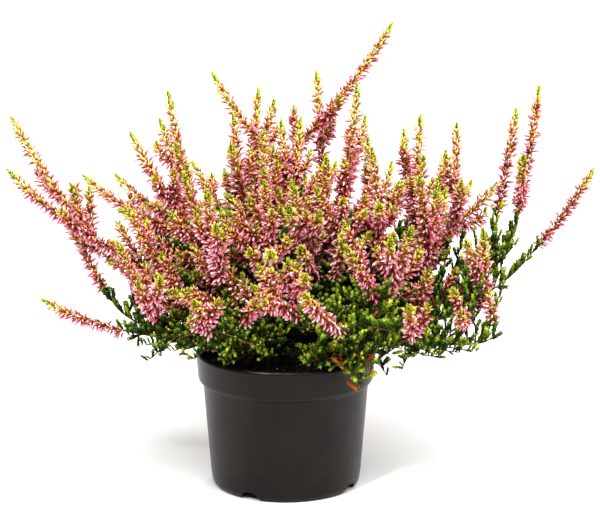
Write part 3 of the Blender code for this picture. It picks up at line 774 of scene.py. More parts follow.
class Growth:
    """Collects copies of templates and tubes into one mesh with several finishes."""

    def __init__(self) -> None:
        """Starts empty."""
        self.points: list[np.ndarray] = []
        self.faces: list[np.ndarray] = []
        self.parts: list[np.ndarray] = []
        self.traits: list[np.ndarray] = []
        self.count = 0

    def add(self, points: np.ndarray, faces: np.ndarray, part: Part, traits: np.ndarray) -> None:
        """Adds loose points and the faces between them.

        Args:
            points: rows of millimetres.
            faces: rows of three numbers of those points.
            part: what the faces belong to.
            traits: rows of along, ridge highlight and tone.
        """
        self.points.append(points)
        self.faces.append(faces + self.count)
        self.parts.append(np.full(len(faces), part.value))
        self.traits.append(traits)
        self.count += len(points)

    def scatter(self, template: Template, copies: Copies, part: Part) -> None:
        """Adds a copy of the template at each place."""
        if not len(copies):
            return
        axes = unit(copies.axes)
        uppers = unit(copies.uppers - (copies.uppers * axes).sum(axis=1, keepdims=True) * axes)
        others = np.cross(axes, uppers)
        local = template.points
        long, wide = copies.lengths[:, None, None], copies.widths[:, None, None]
        points = (
            copies.places[:, None]
            + uppers[:, None] * (wide * local[None, :, 0:1] + long * local[None, :, 3:4])
            + others[:, None] * wide * local[None, :, 1:2]
            + axes[:, None] * long * local[None, :, 2:3]
        )
        faces = template.faces[None] + len(local) * np.arange(len(copies))[:, None, None]
        traits = np.empty((len(copies), len(local), 3))
        traits[:, :, :2] = template.traits[None]
        traits[:, :, 2] = copies.tones[:, None]
        self.add(points.reshape(-1, 3), faces.reshape(-1, 3), part, traits.reshape(-1, 3))

    def tube(
        self, track: Track, start: float, end: float, radii: tuple[float, float], part: Part,
        sides: int = 6, spacing: float = 3.0, tone: float = 0.5, knots: float = 0.0,
    ) -> None:
        """Adds a closed tapering tube along part of a track.

        Args:
            track: what it follows.
            start, end: arc lengths.
            radii: its radius at each end.
            part: what it belongs to.
            sides: how many sides.
            spacing: millimetres between rings.
            tone: its place in its finish's range of colour.
            knots: how far its radius swells and narrows, as a share.
        """
        rings = max(2, round((end - start) / spacing) + 1)
        s = np.linspace(start, end, rings)
        centres, headings, side, other = track.at(s)
        share = np.linspace(0.0, 1.0, rings)
        swell = 1.0 + knots * np.sin(2.1 * s + 11.0 * tone) * np.sin(0.83 * s)
        radius = (radii[0] + (radii[1] - radii[0]) * share) * swell
        turn = math.tau * np.arange(sides) / sides
        body = centres[:, None] + radius[:, None, None] * around(turn, side[:, None], other[:, None])
        cap = 0.5 * radius[-1] * headings[-1]
        points = np.concatenate([centres[:1], body.reshape(-1, 3), centres[-1:] + cap])
        traits = np.full((len(points), 3), tone)
        traits[:, 0] = np.concatenate([[0.0], np.repeat(share, sides), [1.0]])
        traits[:, 1] = 0.5
        self.add(points, ring_faces(rings, sides), part, traits)

    def piece(self, name: str, materials: Sequence[Material]) -> Object:
        """Makes the object.

        Args:
            name: the piece's name.
            materials: one for each Part, in order.

        Returns:
            The object, with a vector attribute "growth" that holds along, ridge highlight and tone.
        """
        points, faces = np.concatenate(self.points) * MM, np.concatenate(self.faces)
        parts = np.concatenate(self.parts)
        used = sorted(set(parts))
        mesh = bpy.data.meshes.new(name)
        mesh.vertices.add(len(points))
        mesh.vertices.foreach_set("co", points.astype(np.float32).ravel())
        mesh.loops.add(faces.size)
        mesh.loops.foreach_set("vertex_index", faces.astype(np.int32).ravel())
        mesh.polygons.add(len(faces))
        mesh.polygons.foreach_set("loop_start", np.arange(0, faces.size, 3, dtype=np.int32))
        for value in used:
            mesh.materials.append(materials[value])
        places = np.searchsorted(used, parts)
        mesh.polygons.foreach_set("material_index", places.astype(np.int32))
        mesh.polygons.foreach_set("use_smooth", np.ones(len(faces), bool))
        growth = mesh.attributes.new("growth", "FLOAT_VECTOR", "POINT")
        growth.data.foreach_set("vector", np.concatenate(self.traits).astype(np.float32).ravel())
        mesh.update()
        mesh.validate()
        return new_object(name, mesh)


def new_object(name: str, mesh: Mesh) -> Object:
    """Puts a mesh in the scene as an object."""
    obj = bpy.data.objects.new(name, mesh)
    bpy.context.scene.collection.objects.link(obj)
    return obj


def linear(colour: str) -> tuple[float, float, float, float]:
    """An sRGB hex colour such as "#38332e" as linear red, green, blue and alpha."""
    parts = [int(colour[i : i + 2], 16) / 255 for i in (1, 3, 5)]
    return (*(c / 12.92 if c <= 0.04045 else ((c + 0.055) / 1.055) ** 2.4 for c in parts), 1.0)


def add_node(tree: NodeTree, kind: str, inputs: Optional[Mapping] = None, **settings: object) -> Node:
    """Adds a node with its settings and links.

    Args:
        tree: the material's or the world's nodes.
        kind: the node's type, such as ShaderNodeTexNoise.
        inputs: for each input's name or number, the output that it is linked to, or its value.
        settings: the node's own properties.

    Returns:
        The node.
    """
    node = tree.nodes.new(kind)
    for name, value in settings.items():
        setattr(node, name, value)
    for name, value in (inputs or {}).items():
        if isinstance(value, NodeSocket):
            tree.links.new(value, node.inputs[name])
        else:
            node.inputs[name].default_value = value
    return node


def ramp(tree: NodeTree, share: NodeSocket, places: Sequence, colours: Sequence) -> NodeSocket:
    """A ramp with hex colours at their places, read by share, as its colour output."""
    node = add_node(tree, "ShaderNodeValToRGB", {"Fac": share})
    elements = node.color_ramp.elements
    while len(elements) < len(colours):
        elements.new(1.0)
    for element, place, colour in zip(elements, places, colours):
        element.position, element.color = place, linear(colour)
    return node.outputs["Color"]


def new_material(name: str, roughness: float, shine: float = 0.5, ior: float = 1.5) -> tuple:
    """A material of an even gloss.

    Args:
        name: the real material's name.
        roughness, shine, ior: the shader's roughness, specular level and index of refraction.

    Returns:
        The material, its nodes and its Principled shader.
    """
    material = bpy.data.materials.new(name)
    material.use_nodes = True
    tree = material.node_tree
    shader = tree.nodes["Principled BSDF"]
    for socket, value in (("Roughness", roughness), ("Specular IOR Level", shine), ("IOR", ior)):
        shader.inputs[socket].default_value = value
    return material, tree, shader


def speckle(tree: NodeTree, size: float, detail: float = 2.0) -> NodeSocket:
    """Noise fixed to the piece, whose lumps are about size millimetres across, as its value output."""
    place = add_node(tree, "ShaderNodeTexCoord")
    sizes = {"Scale": 1.0 / (size * MM), "Detail": detail, "Roughness": 0.6}
    node = add_node(tree, "ShaderNodeTexNoise", {"Vector": place.outputs["Object"], **sizes})
    return node.outputs["Fac"]


def remapped(tree: NodeTree, value: NodeSocket, before: tuple, after: tuple) -> NodeSocket:
    """A value moved from one range to another and kept inside it, as its output."""
    limits = {"From Min": before[0], "From Max": before[1], "To Min": after[0], "To Max": after[1]}
    return add_node(tree, "ShaderNodeMapRange", {"Value": value, **limits}).outputs["Result"]


def roughen(tree: NodeTree, shader: Node, height: NodeSocket, depth: float, strength: float) -> None:
    """Gives a surface a relief of that depth in millimetres, shown that strongly."""
    bump = add_node(tree, "ShaderNodeBump", {"Height": height, "Distance": depth * MM, "Strength": strength})
    tree.links.new(bump.outputs["Normal"], shader.inputs["Normal"])


def grown_traits(tree: NodeTree) -> dict[str, NodeSocket]:
    """The outputs along, ridge highlight and tone of a growing piece."""
    node = add_node(tree, "ShaderNodeAttribute", attribute_name="growth")
    split = add_node(tree, "ShaderNodeSeparateXYZ", {"Vector": node.outputs["Vector"]})
    return dict(zip(("along", "ridge", "tone"), split.outputs))


def blended(tree: NodeTree, share: object, first: object, second: object, how: str = "MIX") -> NodeSocket:
    """Two colours mixed by a share, each an output or a value, as the result's output."""
    inputs = {"Factor": share, 6: first, 7: second}
    return add_node(tree, "ShaderNodeMix", inputs, data_type="RGBA", blend_type=how).outputs[2]


def total(tree: NodeTree, *terms: tuple[NodeSocket, float], start: float = 0.0) -> object:
    """A sum of outputs, each times a weight, kept between 0 and 1, as its output."""
    found: object = start
    for output, weight in terms:
        inputs = {0: output, 1: weight, 2: found}
        found = add_node(tree, "ShaderNodeMath", inputs, operation="MULTIPLY_ADD", use_clamp=True).outputs[0]
    return found


@dataclass(frozen=True)
class Finish:
    """A material whose colours lie on a ramp. Fine grains read it, alone or with the traits of the mesh."""

    name: str
    colours: tuple  # from the darkest to the palest
    places: tuple  # of the colours on the ramp
    roughness: float
    grain: tuple  # the size of its grains in millimetres, and their detail
    shine: float = 0.5  # the specular level
    ior: float = 1.5
    traits: tuple = ()  # each trait that counts, with its weight
    grains: float = 1.0  # their weight
    start: float = 0.0  # what is added
    relief: tuple = ()  # how deep the grains lie in millimetres, and how strongly they show

    def material(self) -> Material:
        """The material with its colour and its relief."""
        material, tree, shader = new_material(self.name, self.roughness, self.shine, self.ior)
        grains = speckle(tree, *self.grain)
        tree.links.new(self.colour(tree, grains), shader.inputs["Base Color"])
        self.finish(tree, shader, grains)
        return material

    def colour(self, tree: NodeTree, grains: NodeSocket) -> NodeSocket:
        """The colour that the ramp gives for the grains, or for their sum with the traits."""
        if not self.traits:
            return ramp(tree, grains, self.places, self.colours)
        found = grown_traits(tree)
        terms = [(found[trait], weight) for trait, weight in self.traits]
        share = total(tree, *terms, (grains, self.grains), start=self.start)
        return ramp(tree, share, self.places, self.colours)

    def finish(self, tree: NodeTree, shader: Node, grains: NodeSocket) -> None:
        """Gives the surface the relief of its grains, if it has one."""
        if self.relief:
            roughen(tree, shader, grains, *self.relief)


@dataclass(frozen=True)
class MouldedPolypropylene(Finish):
    """Recycled polypropylene, injection moulded: an even dark brown-grey with a soft satin sheen.

    The pigment of recycled pellets is clouded over a couple of centimetres, and matt additives dull it.
    """

    name: str = "moulded polypropylene"
    colours: tuple = ("#0f0a06", "#150e08", "#1e150d")
    places: tuple = (0.3, 0.5, 0.72)
    roughness: float = 0.32
    grain: tuple = (26.0, 3.0)
    shine: float = 0.27
    ior: float = 1.49
    uneven: float = 0.06  # how far its roughness goes up and down
    patches: tuple = (5.0, 4.0)
    sparks: float = 0.35  # fine spark-eroded grain from the mould
    relief: tuple = (0.02, 0.25)

    def finish(self, tree: NodeTree, shader: Node, grains: NodeSocket) -> None:
        """Slightly uneven gloss and a fine moulded grain."""
        limits = (self.roughness - self.uneven, self.roughness + self.uneven)
        gloss = remapped(tree, speckle(tree, *self.patches), (0.0, 1.0), limits)
        tree.links.new(gloss, shader.inputs["Roughness"])
        roughen(tree, shader, speckle(tree, self.sparks), *self.relief)


@dataclass(frozen=True)
class Peat(Finish):
    """Damp sphagnum peat: nearly black and matt, with brown crumbs of one to two millimetres."""

    name: str = "damp peat"
    colours: tuple = ("#080504", "#1a120c", "#3a291b")
    places: tuple = (0.38, 0.56, 0.74)
    roughness: float = 0.94
    grain: tuple = (1.6, 5.0)
    shine: float = 0.3
    relief: tuple = (0.5, 0.9)


@dataclass(frozen=True)
class HeatherWood(Finish):
    """Young heather bark: thin, red-brown and orange where it is new, greener towards the tips.

    It is streaked by flaking bark half a millimetre wide.
    """

    name: str = "heather wood"
    colours: tuple = ("#1c120b", "#4e2f1a", "#a0672f", "#c4aa48")
    places: tuple = (0.1, 0.4, 0.72, 1.0)
    roughness: float = 0.62
    grain: tuple = (0.9, 4.0)
    traits: tuple = (("tone", 0.85),)
    grains: float = 0.45
    relief: tuple = (0.12, 0.6)


@dataclass(frozen=True)
class ScaleLeaf(Finish):
    """Living heather leaf: dark waxy green, bright yellow-green where it is young, pale at its tips, partly
    as a painted highlight.
    """

    name: str = "heather leaf"
    colours: tuple = ("#040a00", "#143002", "#426408", "#98a816", "#dae256")
    places: tuple = (0.05, 0.26, 0.5, 0.76, 1.0)
    roughness: float = 0.42
    grain: tuple = (0.8,)
    shine: float = 0.25
    traits: tuple = (("tone", 0.6), ("along", 0.4))
    grains: float = 0.24
    start: float = -0.18
    brown: str = "#8a5a20"  # overlaid in places
    blotches: tuple = (7.0, 3.0)
    browned: tuple = ((0.56, 0.72), (0.0, 0.6))  # the blotches' range, and how much they brown it
    # the pale tip colour is partly the young growth's own and partly a painted highlight
    tip_and_highlight_colour: str = "#e2e878"
    tip_and_highlight: tuple = ((0.84, 1.0), (0.0, 0.45))  # the range along a leaf, and how much paler it gets, partly a painted highlight

    def colour(self, tree: NodeTree, grains: NodeSocket) -> NodeSocket:
        """Green, browned in places, with pale blunt tips that are partly a painted highlight."""
        old = remapped(tree, speckle(tree, *self.blotches), *self.browned)
        pale = remapped(tree, grown_traits(tree)["along"], *self.tip_and_highlight)
        green = blended(tree, old, super().colour(tree, grains), linear(self.brown), "OVERLAY")
        return blended(tree, pale, green, linear(self.tip_and_highlight_colour))


@dataclass(frozen=True)
class GrowingTip(Finish):
    """The soft scaly tip of a spike: bright yellow-green, olive at the foot of each scale as painted shade
    between the scales, paler along each one.
    """

    name: str = "growing tip"
    colours: tuple = ("#4a4c06", "#8e9414", "#c4c832", "#f2f290")
    places: tuple = (0.05, 0.35, 0.65, 1.0)
    roughness: float = 0.5
    grain: tuple = (0.7,)
    # along darkens the foot of each scale as painted shade
    traits: tuple = (("along", 0.66), ("tone", 0.35))
    grains: float = 0.3
    start: float = -0.16


@dataclass(frozen=True)
class PaperySepal(Finish):
    """Shut heather sepals: thin, papery and a little shiny, crimson to pale pink by tone.

    They are deep at the stalk and paler towards the tip. Every other keel is paler as a painted highlight,
    and the keels between are darker as painted shade.
    """

    name: str = "papery sepal"
    colours: tuple = ("#34080e", "#8e1634", "#d45676", "#f6b4c2", "#fff8f6")
    places: tuple = (0.05, 0.27, 0.5, 0.74, 1.0)
    roughness: float = 0.34
    grain: tuple = (0.9,)
    # the ridge trait paints a highlight along every other keel
    traits: tuple = (("tone", 0.48), ("ridge", 0.42), ("along", 0.4))
    grains: float = 0.2
    start: float = -0.26


@dataclass(frozen=True)
class YoungBract(Finish):
    """The small leaves between buds: red-brown and orange low on a spike, yellow and yellow-green above.

    They are a little uneven, a millimetre across.
    """

    name: str = "young bract"
    colours: tuple = ("#38180a", "#984826", "#de964a", "#eec264", "#dada5c")
    places: tuple = (0.05, 0.3, 0.55, 0.78, 1.0)
    roughness: float = 0.5
    grain: tuple = (1.0,)
    traits: tuple = (("tone", 0.9), ("along", 0.34))
    grains: float = 0.2
    start: float = -0.2


@dataclass(frozen=True)
class DriedLeaf(Finish):
    """Dead heather leaves and shed flowers: thin, matt, orange-brown and blotched."""

    name: str = "dried leaf"
    colours: tuple = ("#3a1a0a", "#84421a", "#bd6a2c", "#dca66a")
    places: tuple = (0.05, 0.4, 0.7, 1.0)
    roughness: float = 0.75
    grain: tuple = (0.9,)
    traits: tuple = (("tone", 0.75),)
    grains: float = 0.4
    start: float = -0.08


@dataclass(frozen=True)
class Perlite(Finish):
    """Puffed volcanic glass mixed into the peat: off-white, matt, pitted and stained by it in patches."""

    name: str = "perlite"
    colours: tuple = ("#8f8677", "#cfc8ba", "#efebe2")
    places: tuple = (0.35, 0.55, 0.75)
    roughness: float = 0.85
    grain: tuple = (0.5, 3.0)


class Finishes:
    """Every material of the object, made once."""

    def __init__(self) -> None:
        """Makes the pot's, the peat's, and by_part, which has one for each Part, in order."""
        self.pot = MouldedPolypropylene().material()
        self.peat = Peat().material()
        grown = (HeatherWood, ScaleLeaf, GrowingTip, PaperySepal, YoungBract, DriedLeaf)
        self.by_part = [*(finish().material() for finish in grown), self.peat, Perlite().material()]


def crossed(pairs: int) -> np.ndarray:
    """The turns of leaves in pairs, each pair across the one before."""
    return np.arange(2 * pairs) * math.pi + np.repeat(np.arange(pairs), 2) * math.pi / 2


def shoot_template(length: float, width: float, curl: float, pairs: int, seed: int) -> Template:
    """A short blunt side shoot, closely wrapped in scale leaves in four rows.

    Args:
        length: of the shoot, in millimetres.
        width: across its leaves.
        curl: how far its end turns to the upper side, in shoot lengths.
        pairs: how many pairs of leaves it has. With none it is an old shoot, a plain worn spindle.
        seed: for the unevenness of its leaves.

    Returns:
        The shoot, scaled to run from 0 to 1, with its widths in shoot lengths.
    """
    draw = np.random.default_rng(seed)
    shoot = Growth()
    end = (curl * length, 0, length)
    core = Path(bezier((0, 0, 0), (0, 0, length / 3), (0.5 * curl * length, 0, 0.7 * length), end, 12))
    track = Track(core)
    radii = (0.2 * width, 0.36 * width) if pairs else (0.22 * width, 0.42 * width)
    shoot.tube(track, 0.0, 0.93 * core.length, radii, Part.LEAF, sides=4, spacing=length / 2)
    share = np.repeat(np.linspace(0.1, 0.86, pairs), 2)
    turn = crossed(pairs) + draw.normal(0.0, 0.12, 2 * pairs)
    places, headings, side, other = track.at(share * core.length)
    out = around(turn, side, other)
    full = np.minimum(1.0, 0.7 + 0.9 * share) * (1.0 - 0.25 * (share > 0.8))
    leaves = Copies(
        places=places + 0.2 * width * out,
        axes=leant(32.0 - 16.0 * share + draw.normal(0.0, 4.0, len(share)), headings, out),
        uppers=out,
        lengths=0.74 * width * full * draw.uniform(0.9, 1.12, len(share)),
        widths=0.3 * width * full,
        tones=share,
    )
    shoot.scatter(leaf_template(), leaves, Part.LEAF)
    points = np.concatenate(shoot.points) / length
    traits = np.concatenate(shoot.traits)
    along = 0.25 * traits[:, 0] + 0.75 * points[:, 2].clip(0.0, 1.0)
    packed = np.column_stack([points, np.zeros(len(points))])
    return Template(packed, np.concatenate(shoot.faces), np.column_stack([along, traits[:, 1]]))


class Shoots(Enum):
    """How light the side shoots on each kind of stem are, and their size as a share of the branch's."""

    TRUNK = (0.22, 1.0)
    LEADER = (0.34, 1.1)
    TWIG = (0.46, 1.0)
    FINE_TWIG = (0.38, 0.9)
    SHORT_SPIKE = (0.4, 0.8)
    SPIKE_FOOT = (0.44, 1.15)


@dataclass
class LeafyStem:
    """How the leafy stems are dressed with side shoots."""

    shoot_length: float = 9.8
    shoot_width: float = 4.0
    pairs: int = 6  # of leaves on a side shoot
    spacing: float = 2.6  # between side shoots along a stem
    lean: tuple = (64.0, 9.0)  # degrees from the stem at its foot, and how far chance takes them
    closer: float = 20.0  # and how many fewer at its end
    swing: float = 0.35  # radians by which the four rows of shoots are uneven, and turn on
    lift: tuple = (0.2, 1.6)  # from and to, as shares of the branch's own
    lengths: tuple = (0.6, 1.2)
    thickness: tuple = (0.85, 1.15)
    taper: float = 0.25  # how much shorter they are at the end
    tones: float = 0.26
    paler: float = 0.22  # and how much paler
    shade: tuple = (0.35, 1.25)  # how far painted shade darkens them deep in the plant, and how much longer they are there
    dead: float = 0.02  # the share of them that has dried up
    curls: tuple = (0.0, 0.08, 0.16, 0.26)
    young: list[Template] = field(default_factory=list)
    old: list[Template] = field(default_factory=list)

    def __post_init__(self) -> None:
        """Makes a few unlike shoots to set out, and worn ones for the shade inside the plant."""
        for seed, curl in enumerate(self.curls):
            self.young.append(shoot_template(self.shoot_length, self.shoot_width, curl, self.pairs, seed))
            self.old.append(shoot_template(self.shoot_length, self.shoot_width, curl, 0, seed))

    def dress(
        self, growth: Growth, track: Track, start: float, end: float, draw: np.random.Generator,
        branch: Branch, tone: float, size: float = 1.0, part: Part = Part.LEAF,
    ) -> None:
        """Sets side shoots along part of a track, worn ones where they are deep in the plant, darkened there
        as painted shade.

        Args:
            growth: what they are added to.
            track: the stem's own line.
            start, end: arc lengths between which they stand.
            draw: the source of chance.
            branch: the branch they belong to.
            tone: how light they are, from 0 to 1, on a branch of no tone of its own.
            size: of the shoots, as a share of the branch's.
            part: what they belong to, apart from the few that have dried up.
        """
        if end - start < 2.0:
            return
        many = max(1, round((end - start) / (self.spacing * branch.size)))
        s = np.linspace(start, end, many) + draw.uniform(-0.3, 0.3, many)
        share = (s - start) / (end - start)
        places, headings, side, other = track.at(s)
        turn = draw.uniform(0, math.tau) + np.arange(many) * math.pi / 2 + draw.normal(0.0, self.swing, many)
        turn += self.swing * np.arange(many) * math.pi / 4
        out = around(turn, side, other)
        middle, chance = self.lean
        axes = leant(middle - self.closer * share + draw.normal(0.0, chance, many), headings, out)
        lift = branch.lift * draw.uniform(*self.lift, (many, 1))
        size = size * branch.size * self.shoot_length
        lengths = size * draw.uniform(*self.lengths, many) * (1.0 - self.taper * share)
        tones = tone + branch.tone + draw.normal(0.0, self.tones, many) + self.paler * share
        tones = np.clip(tones, 0.0, 1.0)
        # deep in the plant the shoots are worn ones, and their tones are darkened as painted shade
        deep = inside(places, SHADE_ZONE)
        darker, longer = self.shade
        tones, lengths = np.where(deep, darker * tones, tones), np.where(deep, longer * lengths, lengths)
        kinds = draw.integers(0, len(self.curls), many) + len(self.curls) * deep
        dead = draw.uniform(0.0, 1.0, many) < self.dead
        widths = lengths * draw.uniform(*self.thickness, many)
        shoots = Copies(places, unit(axes + lift * UP), headings + 0.3 * UP, lengths, widths, tones)
        for kind, template in enumerate(self.young + self.old):
            growth.scatter(template, shoots.where((kinds == kind) & ~dead), part)
            growth.scatter(template, shoots.where((kinds == kind) & dead), Part.DRY)


@dataclass
class FlowerSpike:
    """How a spike's rachis is dressed with buds, small leaves and its growing tip."""

    bud_length: float = 5.0
    bud_width: float = 2.2
    bud_tones: tuple = (0.49, 0.38)  # the middle one, and how far chance takes them
    bud_lengths: tuple = (0.72, 1.2)  # from and to, as shares
    bud_widths: tuple = (0.75, 1.15)
    tone_of_spike: float = 0.16  # how far all of a spike's buds are darker or lighter
    size_of_spike: tuple = (0.88, 1.12)  # from and to
    stand: tuple = (50.0, 80.0)  # degrees between the rachis and its lower buds, from spike to spike
    stand_chance: float = 14.0
    closer: float = 20.0  # and how many fewer for its last buds
    stalk: float = 1.8  # from the middle of the rachis to the foot of a bud
    spacing: float = 0.76  # between buds along the rachis, where they are closest
    swing: float = 0.3  # radians by which the spirals are uneven
    sleeve_spacing: float = 0.38  # between the small leaves that wrap the rachis
    sleeve_radius: float = 2.0
    sleeve_lean: tuple = (36.0, 10.0)  # in degrees, and how far chance takes it
    sleeve_tone: tuple = (0.18, 0.1)
    sleeve_lengths: tuple = (1.7, 2.7)  # from and to, as shares of its radius
    sleeve_widths: tuple = (0.52, 0.68)
    tip_length: float = 8.5
    tip_width: float = 5.6
    tip_scale: float = 0.62  # millimetres of tip for each pair of scales
    tip_leans: tuple = (42.0, 30.0)  # degrees of the lowest scales from the rachis, and how many fewer above
    wood_tones: tuple = (0.62, 0.9)  # of the rachis, from spike to spike
    yellow_from: tuple = (0.4, 0.85)  # the part of a spike's length in bud below its yellow stretch
    buds: list[Template] = field(default_factory=lambda: [bud_template(bend) for bend in BUD_BENDS])
    leaf: Template = field(default_factory=leaf_template)

    def dress(
        self, growth: Growth, track: Track, start: float, end: float, bare: float, draw: np.random.Generator,
        radius: float = 0.62,
    ) -> None:
        """Dresses a stretch of a track as one spike that ends in a growing tip.

        Args:
            growth: what it is added to.
            track: the rachis's line.
            start, end: the arc lengths of its foot and its very tip.
            bare: the length at its foot with no buds.
            draw: the source of chance.
            radius: of the rachis at its foot.
        """
        length = end - start
        tip = min(self.tip_length * draw.uniform(0.75, 1.15), 0.15 * length)
        growth.tube(
            track, start, end - 0.6 * tip, (radius, 0.36), Part.WOOD, sides=5, spacing=2.5,
            tone=draw.uniform(*self.wood_tones),
        )
        self.set_buds(growth, track, start + min(bare, 0.4 * length), end - tip, draw)
        self.set_tip(growth, track, end - tip, end, draw)

    def set_buds(
        self, growth: Growth, track: Track, start: float, end: float, draw: np.random.Generator,
        top: bool = True,
    ) -> None:
        """Sets the buds in a close spiral.

        Args:
            growth: what they are added to.
            track: the rachis's line.
            start, end: arc lengths between which they stand.
            draw: the source of chance.
            top: whether they get smaller, sparser and yellower towards the end.
        """
        last = end - start if top else math.inf
        yellow_from = draw.uniform(*self.yellow_from)
        steps = [start]
        while steps[-1] < end:
            share = (steps[-1] - start) / last
            steps.append(steps[-1] + self.spacing * (1.0 + 0.5 * share**3) * draw.uniform(0.7, 1.3))
        s = np.array(steps[:-1])
        many = len(s)
        share = (s - start) / last
        places, headings, side, other = track.at(s)
        down = -UP - (-UP * headings).sum(axis=1, keepdims=True) * headings
        lean_out = np.linalg.norm(down, axis=1, keepdims=True)
        below = np.where(lean_out > 0.05, down / np.maximum(lean_out, 0.05), side)
        beside = np.cross(headings, below)
        turn = np.arange(many) * GOLDEN_TURN + draw.normal(0.0, self.swing, many)
        turn = turn - 0.45 * lean_out[:, 0] * np.sin(turn)
        out = around(turn, below, beside)
        stand = draw.uniform(*self.stand) - self.closer * share**2
        stand = stand + draw.normal(0.0, self.stand_chance, many)
        droop = ((0.2 + 0.25 * lean_out[:, 0]) * (1.0 - 0.8 * share))[:, None]
        axes = unit(leant(stand, headings, out) - droop * UP)
        shorter = 1.0 - 0.3 * lean_out[:, 0] * (1.0 - np.cos(turn)) / 2
        taper = 1.0 - 0.36 * ((share - 0.8) / 0.2).clip(0.0) ** 1.3
        lengths = self.bud_length * taper * shorter * draw.uniform(*self.bud_lengths, many)
        lengths = lengths * draw.uniform(*self.size_of_spike)
        widths = 0.5 * self.bud_width * (0.2 + 0.8 * taper) * draw.uniform(*self.bud_widths, many)
        yellow = ((share - yellow_from) / (1.0 - yellow_from)).clip(0.0)
        tones = draw.normal(*self.bud_tones, many) + draw.normal(0.0, self.tone_of_spike) + 0.24 * yellow
        grown = draw.uniform(0.0, 1.0, many) > 0.25 * yellow
        kinds = draw.integers(0, len(self.buds), many)
        buds = Copies(places + self.stalk * out, axes, headings, lengths, widths, np.clip(tones, 0.0, 1.0))
        for kind, template in enumerate(self.buds):
            growth.scatter(template, buds.where((kinds == kind) & grown), Part.BUD)
        self.set_sleeve(growth, track, start, end, draw, last, yellow_from)

    def set_sleeve(
        self, growth: Growth, track: Track, start: float, end: float, draw: np.random.Generator,
        last: float, yellow_from: float,
    ) -> None:
        """Wraps the rachis in small leaves, brighter and standing further out towards the tip.

        Args:
            growth: what they are added to.
            track: the rachis's line.
            start, end: arc lengths between which they stand.
            draw: the source of chance.
            last: the length over which they change from foot to tip.
            yellow_from: the share of it below the yellow stretch.
        """
        many = round((end - start) / self.sleeve_spacing)
        s = np.linspace(start, end, many)
        share = (s - start) / last
        places, headings, side, other = track.at(s)
        turn = np.arange(many) * 1.7 * GOLDEN_TURN + draw.normal(0.0, self.swing, many)
        out = around(turn, side, other)
        yellow = ((share - yellow_from) / (1.0 - yellow_from)).clip(0.0)
        middle, chance = self.sleeve_lean
        axes = leant(middle + 8.0 * yellow + draw.normal(0.0, chance, many), headings, out)
        tones = draw.normal(*self.sleeve_tone) + 0.42 * share + 0.36 * np.sqrt(yellow)
        tones = np.clip(tones + draw.normal(0.0, 0.2, many), 0.0, 1.0)
        lengths = self.sleeve_radius * draw.uniform(*self.sleeve_lengths, many) * (1.0 + 0.25 * yellow)
        widths = self.sleeve_radius * draw.uniform(*self.sleeve_widths, many)
        leaves = Copies(places + 0.45 * self.sleeve_radius * out, axes, out, lengths, widths, tones)
        growth.scatter(self.leaf, leaves, Part.BRACT)

    def set_tip(
        self, growth: Growth, track: Track, start: float, end: float, draw: np.random.Generator
    ) -> None:
        """Sets the overlapping scales of the growing tip."""
        length = end - start
        pairs = max(4, round(length / self.tip_scale))
        share = np.repeat(np.linspace(0.0, 0.88, pairs), 2)
        many = len(share)
        places, headings, side, other = track.at(start + share * length)
        out = around(crossed(pairs) + draw.normal(0, 0.2, many), side, other)
        widest, closer = self.tip_leans
        axes = leant(widest - closer * share**2 + draw.normal(0.0, 6.0, many), headings, out)
        fullness = min(1.0, 0.5 + 0.5 * length / self.tip_length) * (1.0 - 0.45 * share**3)
        lengths = 0.68 * self.tip_width * fullness * draw.uniform(0.85, 1.15, many)
        tones = np.clip(0.35 + 0.3 * share + draw.normal(0.0, 0.18, many), 0.0, 1.0)
        scales = Copies(places + 0.3 * out, axes, out, lengths, 0.19 * self.tip_width * fullness, tones)
        growth.scatter(self.leaf, scales, Part.TIP)


def filleted(profile: Sequence[tuple], radius: float, pieces: int = 3) -> np.ndarray:
    """Rounds the corners of a line of (radius, height) points.

    Args:
        profile: the points, from first to last.
        radius: how far from a corner its curve begins, where the sides are long enough.
        pieces: how many steps each curve has.

    Returns:
        The points of the rounded line, one a row.
    """
    corners = np.array(profile, float)
    found = [corners[0]]
    t = np.linspace(0.0, 1.0, pieces + 1)[:, None]
    for before, corner, after in zip(corners, corners[1:], corners[2:]):
        back, on = before - corner, after - corner
        start = corner + unit(back) * min(radius, 0.45 * np.linalg.norm(back))
        end = corner + unit(on) * min(radius, 0.45 * np.linalg.norm(on))
        found.extend((1 - t) ** 2 * start + 2 * (1 - t) * t * corner + t**2 * end)
    return np.array([*found, corners[-1]])


def turned(name: str, profile: np.ndarray, steps: int) -> Object:
    """A solid of revolution from (radius, height) points that run from the axis, out and back to it."""
    turns = math.tau * np.arange(steps) / steps
    ring = profile[1:-1]
    across, heights = ring[:, 0], np.repeat(ring[:, 1:], steps, 1)
    body = np.stack([np.outer(across, np.cos(turns)), np.outer(across, np.sin(turns)), heights], axis=-1)
    body = body.reshape(-1, 3)
    ends = [(0.0, 0.0, profile[0, 1]), (0.0, 0.0, profile[-1, 1])]
    points = np.concatenate([ends[:1], body, ends[1:]]) * MM
    mesh = bpy.data.meshes.new(name)
    mesh.from_pydata(points.tolist(), [], ring_faces(len(ring), steps)[:, ::-1].tolist())
    return new_object(name, mesh)


def cut(target: Object, *tools: Object) -> None:
    """Subtracts the tools from the target and deletes them."""
    for tool in tools:
        cutter = target.modifiers.new("cut", "BOOLEAN")
        cutter.operation, cutter.solver, cutter.object = "DIFFERENCE", "EXACT", tool
    result = bpy.data.meshes.new_from_object(target.evaluated_get(bpy.context.evaluated_depsgraph_get()))
    target.modifiers.clear()
    target.data = result
    for tool in tools:
        bpy.data.objects.remove(tool)


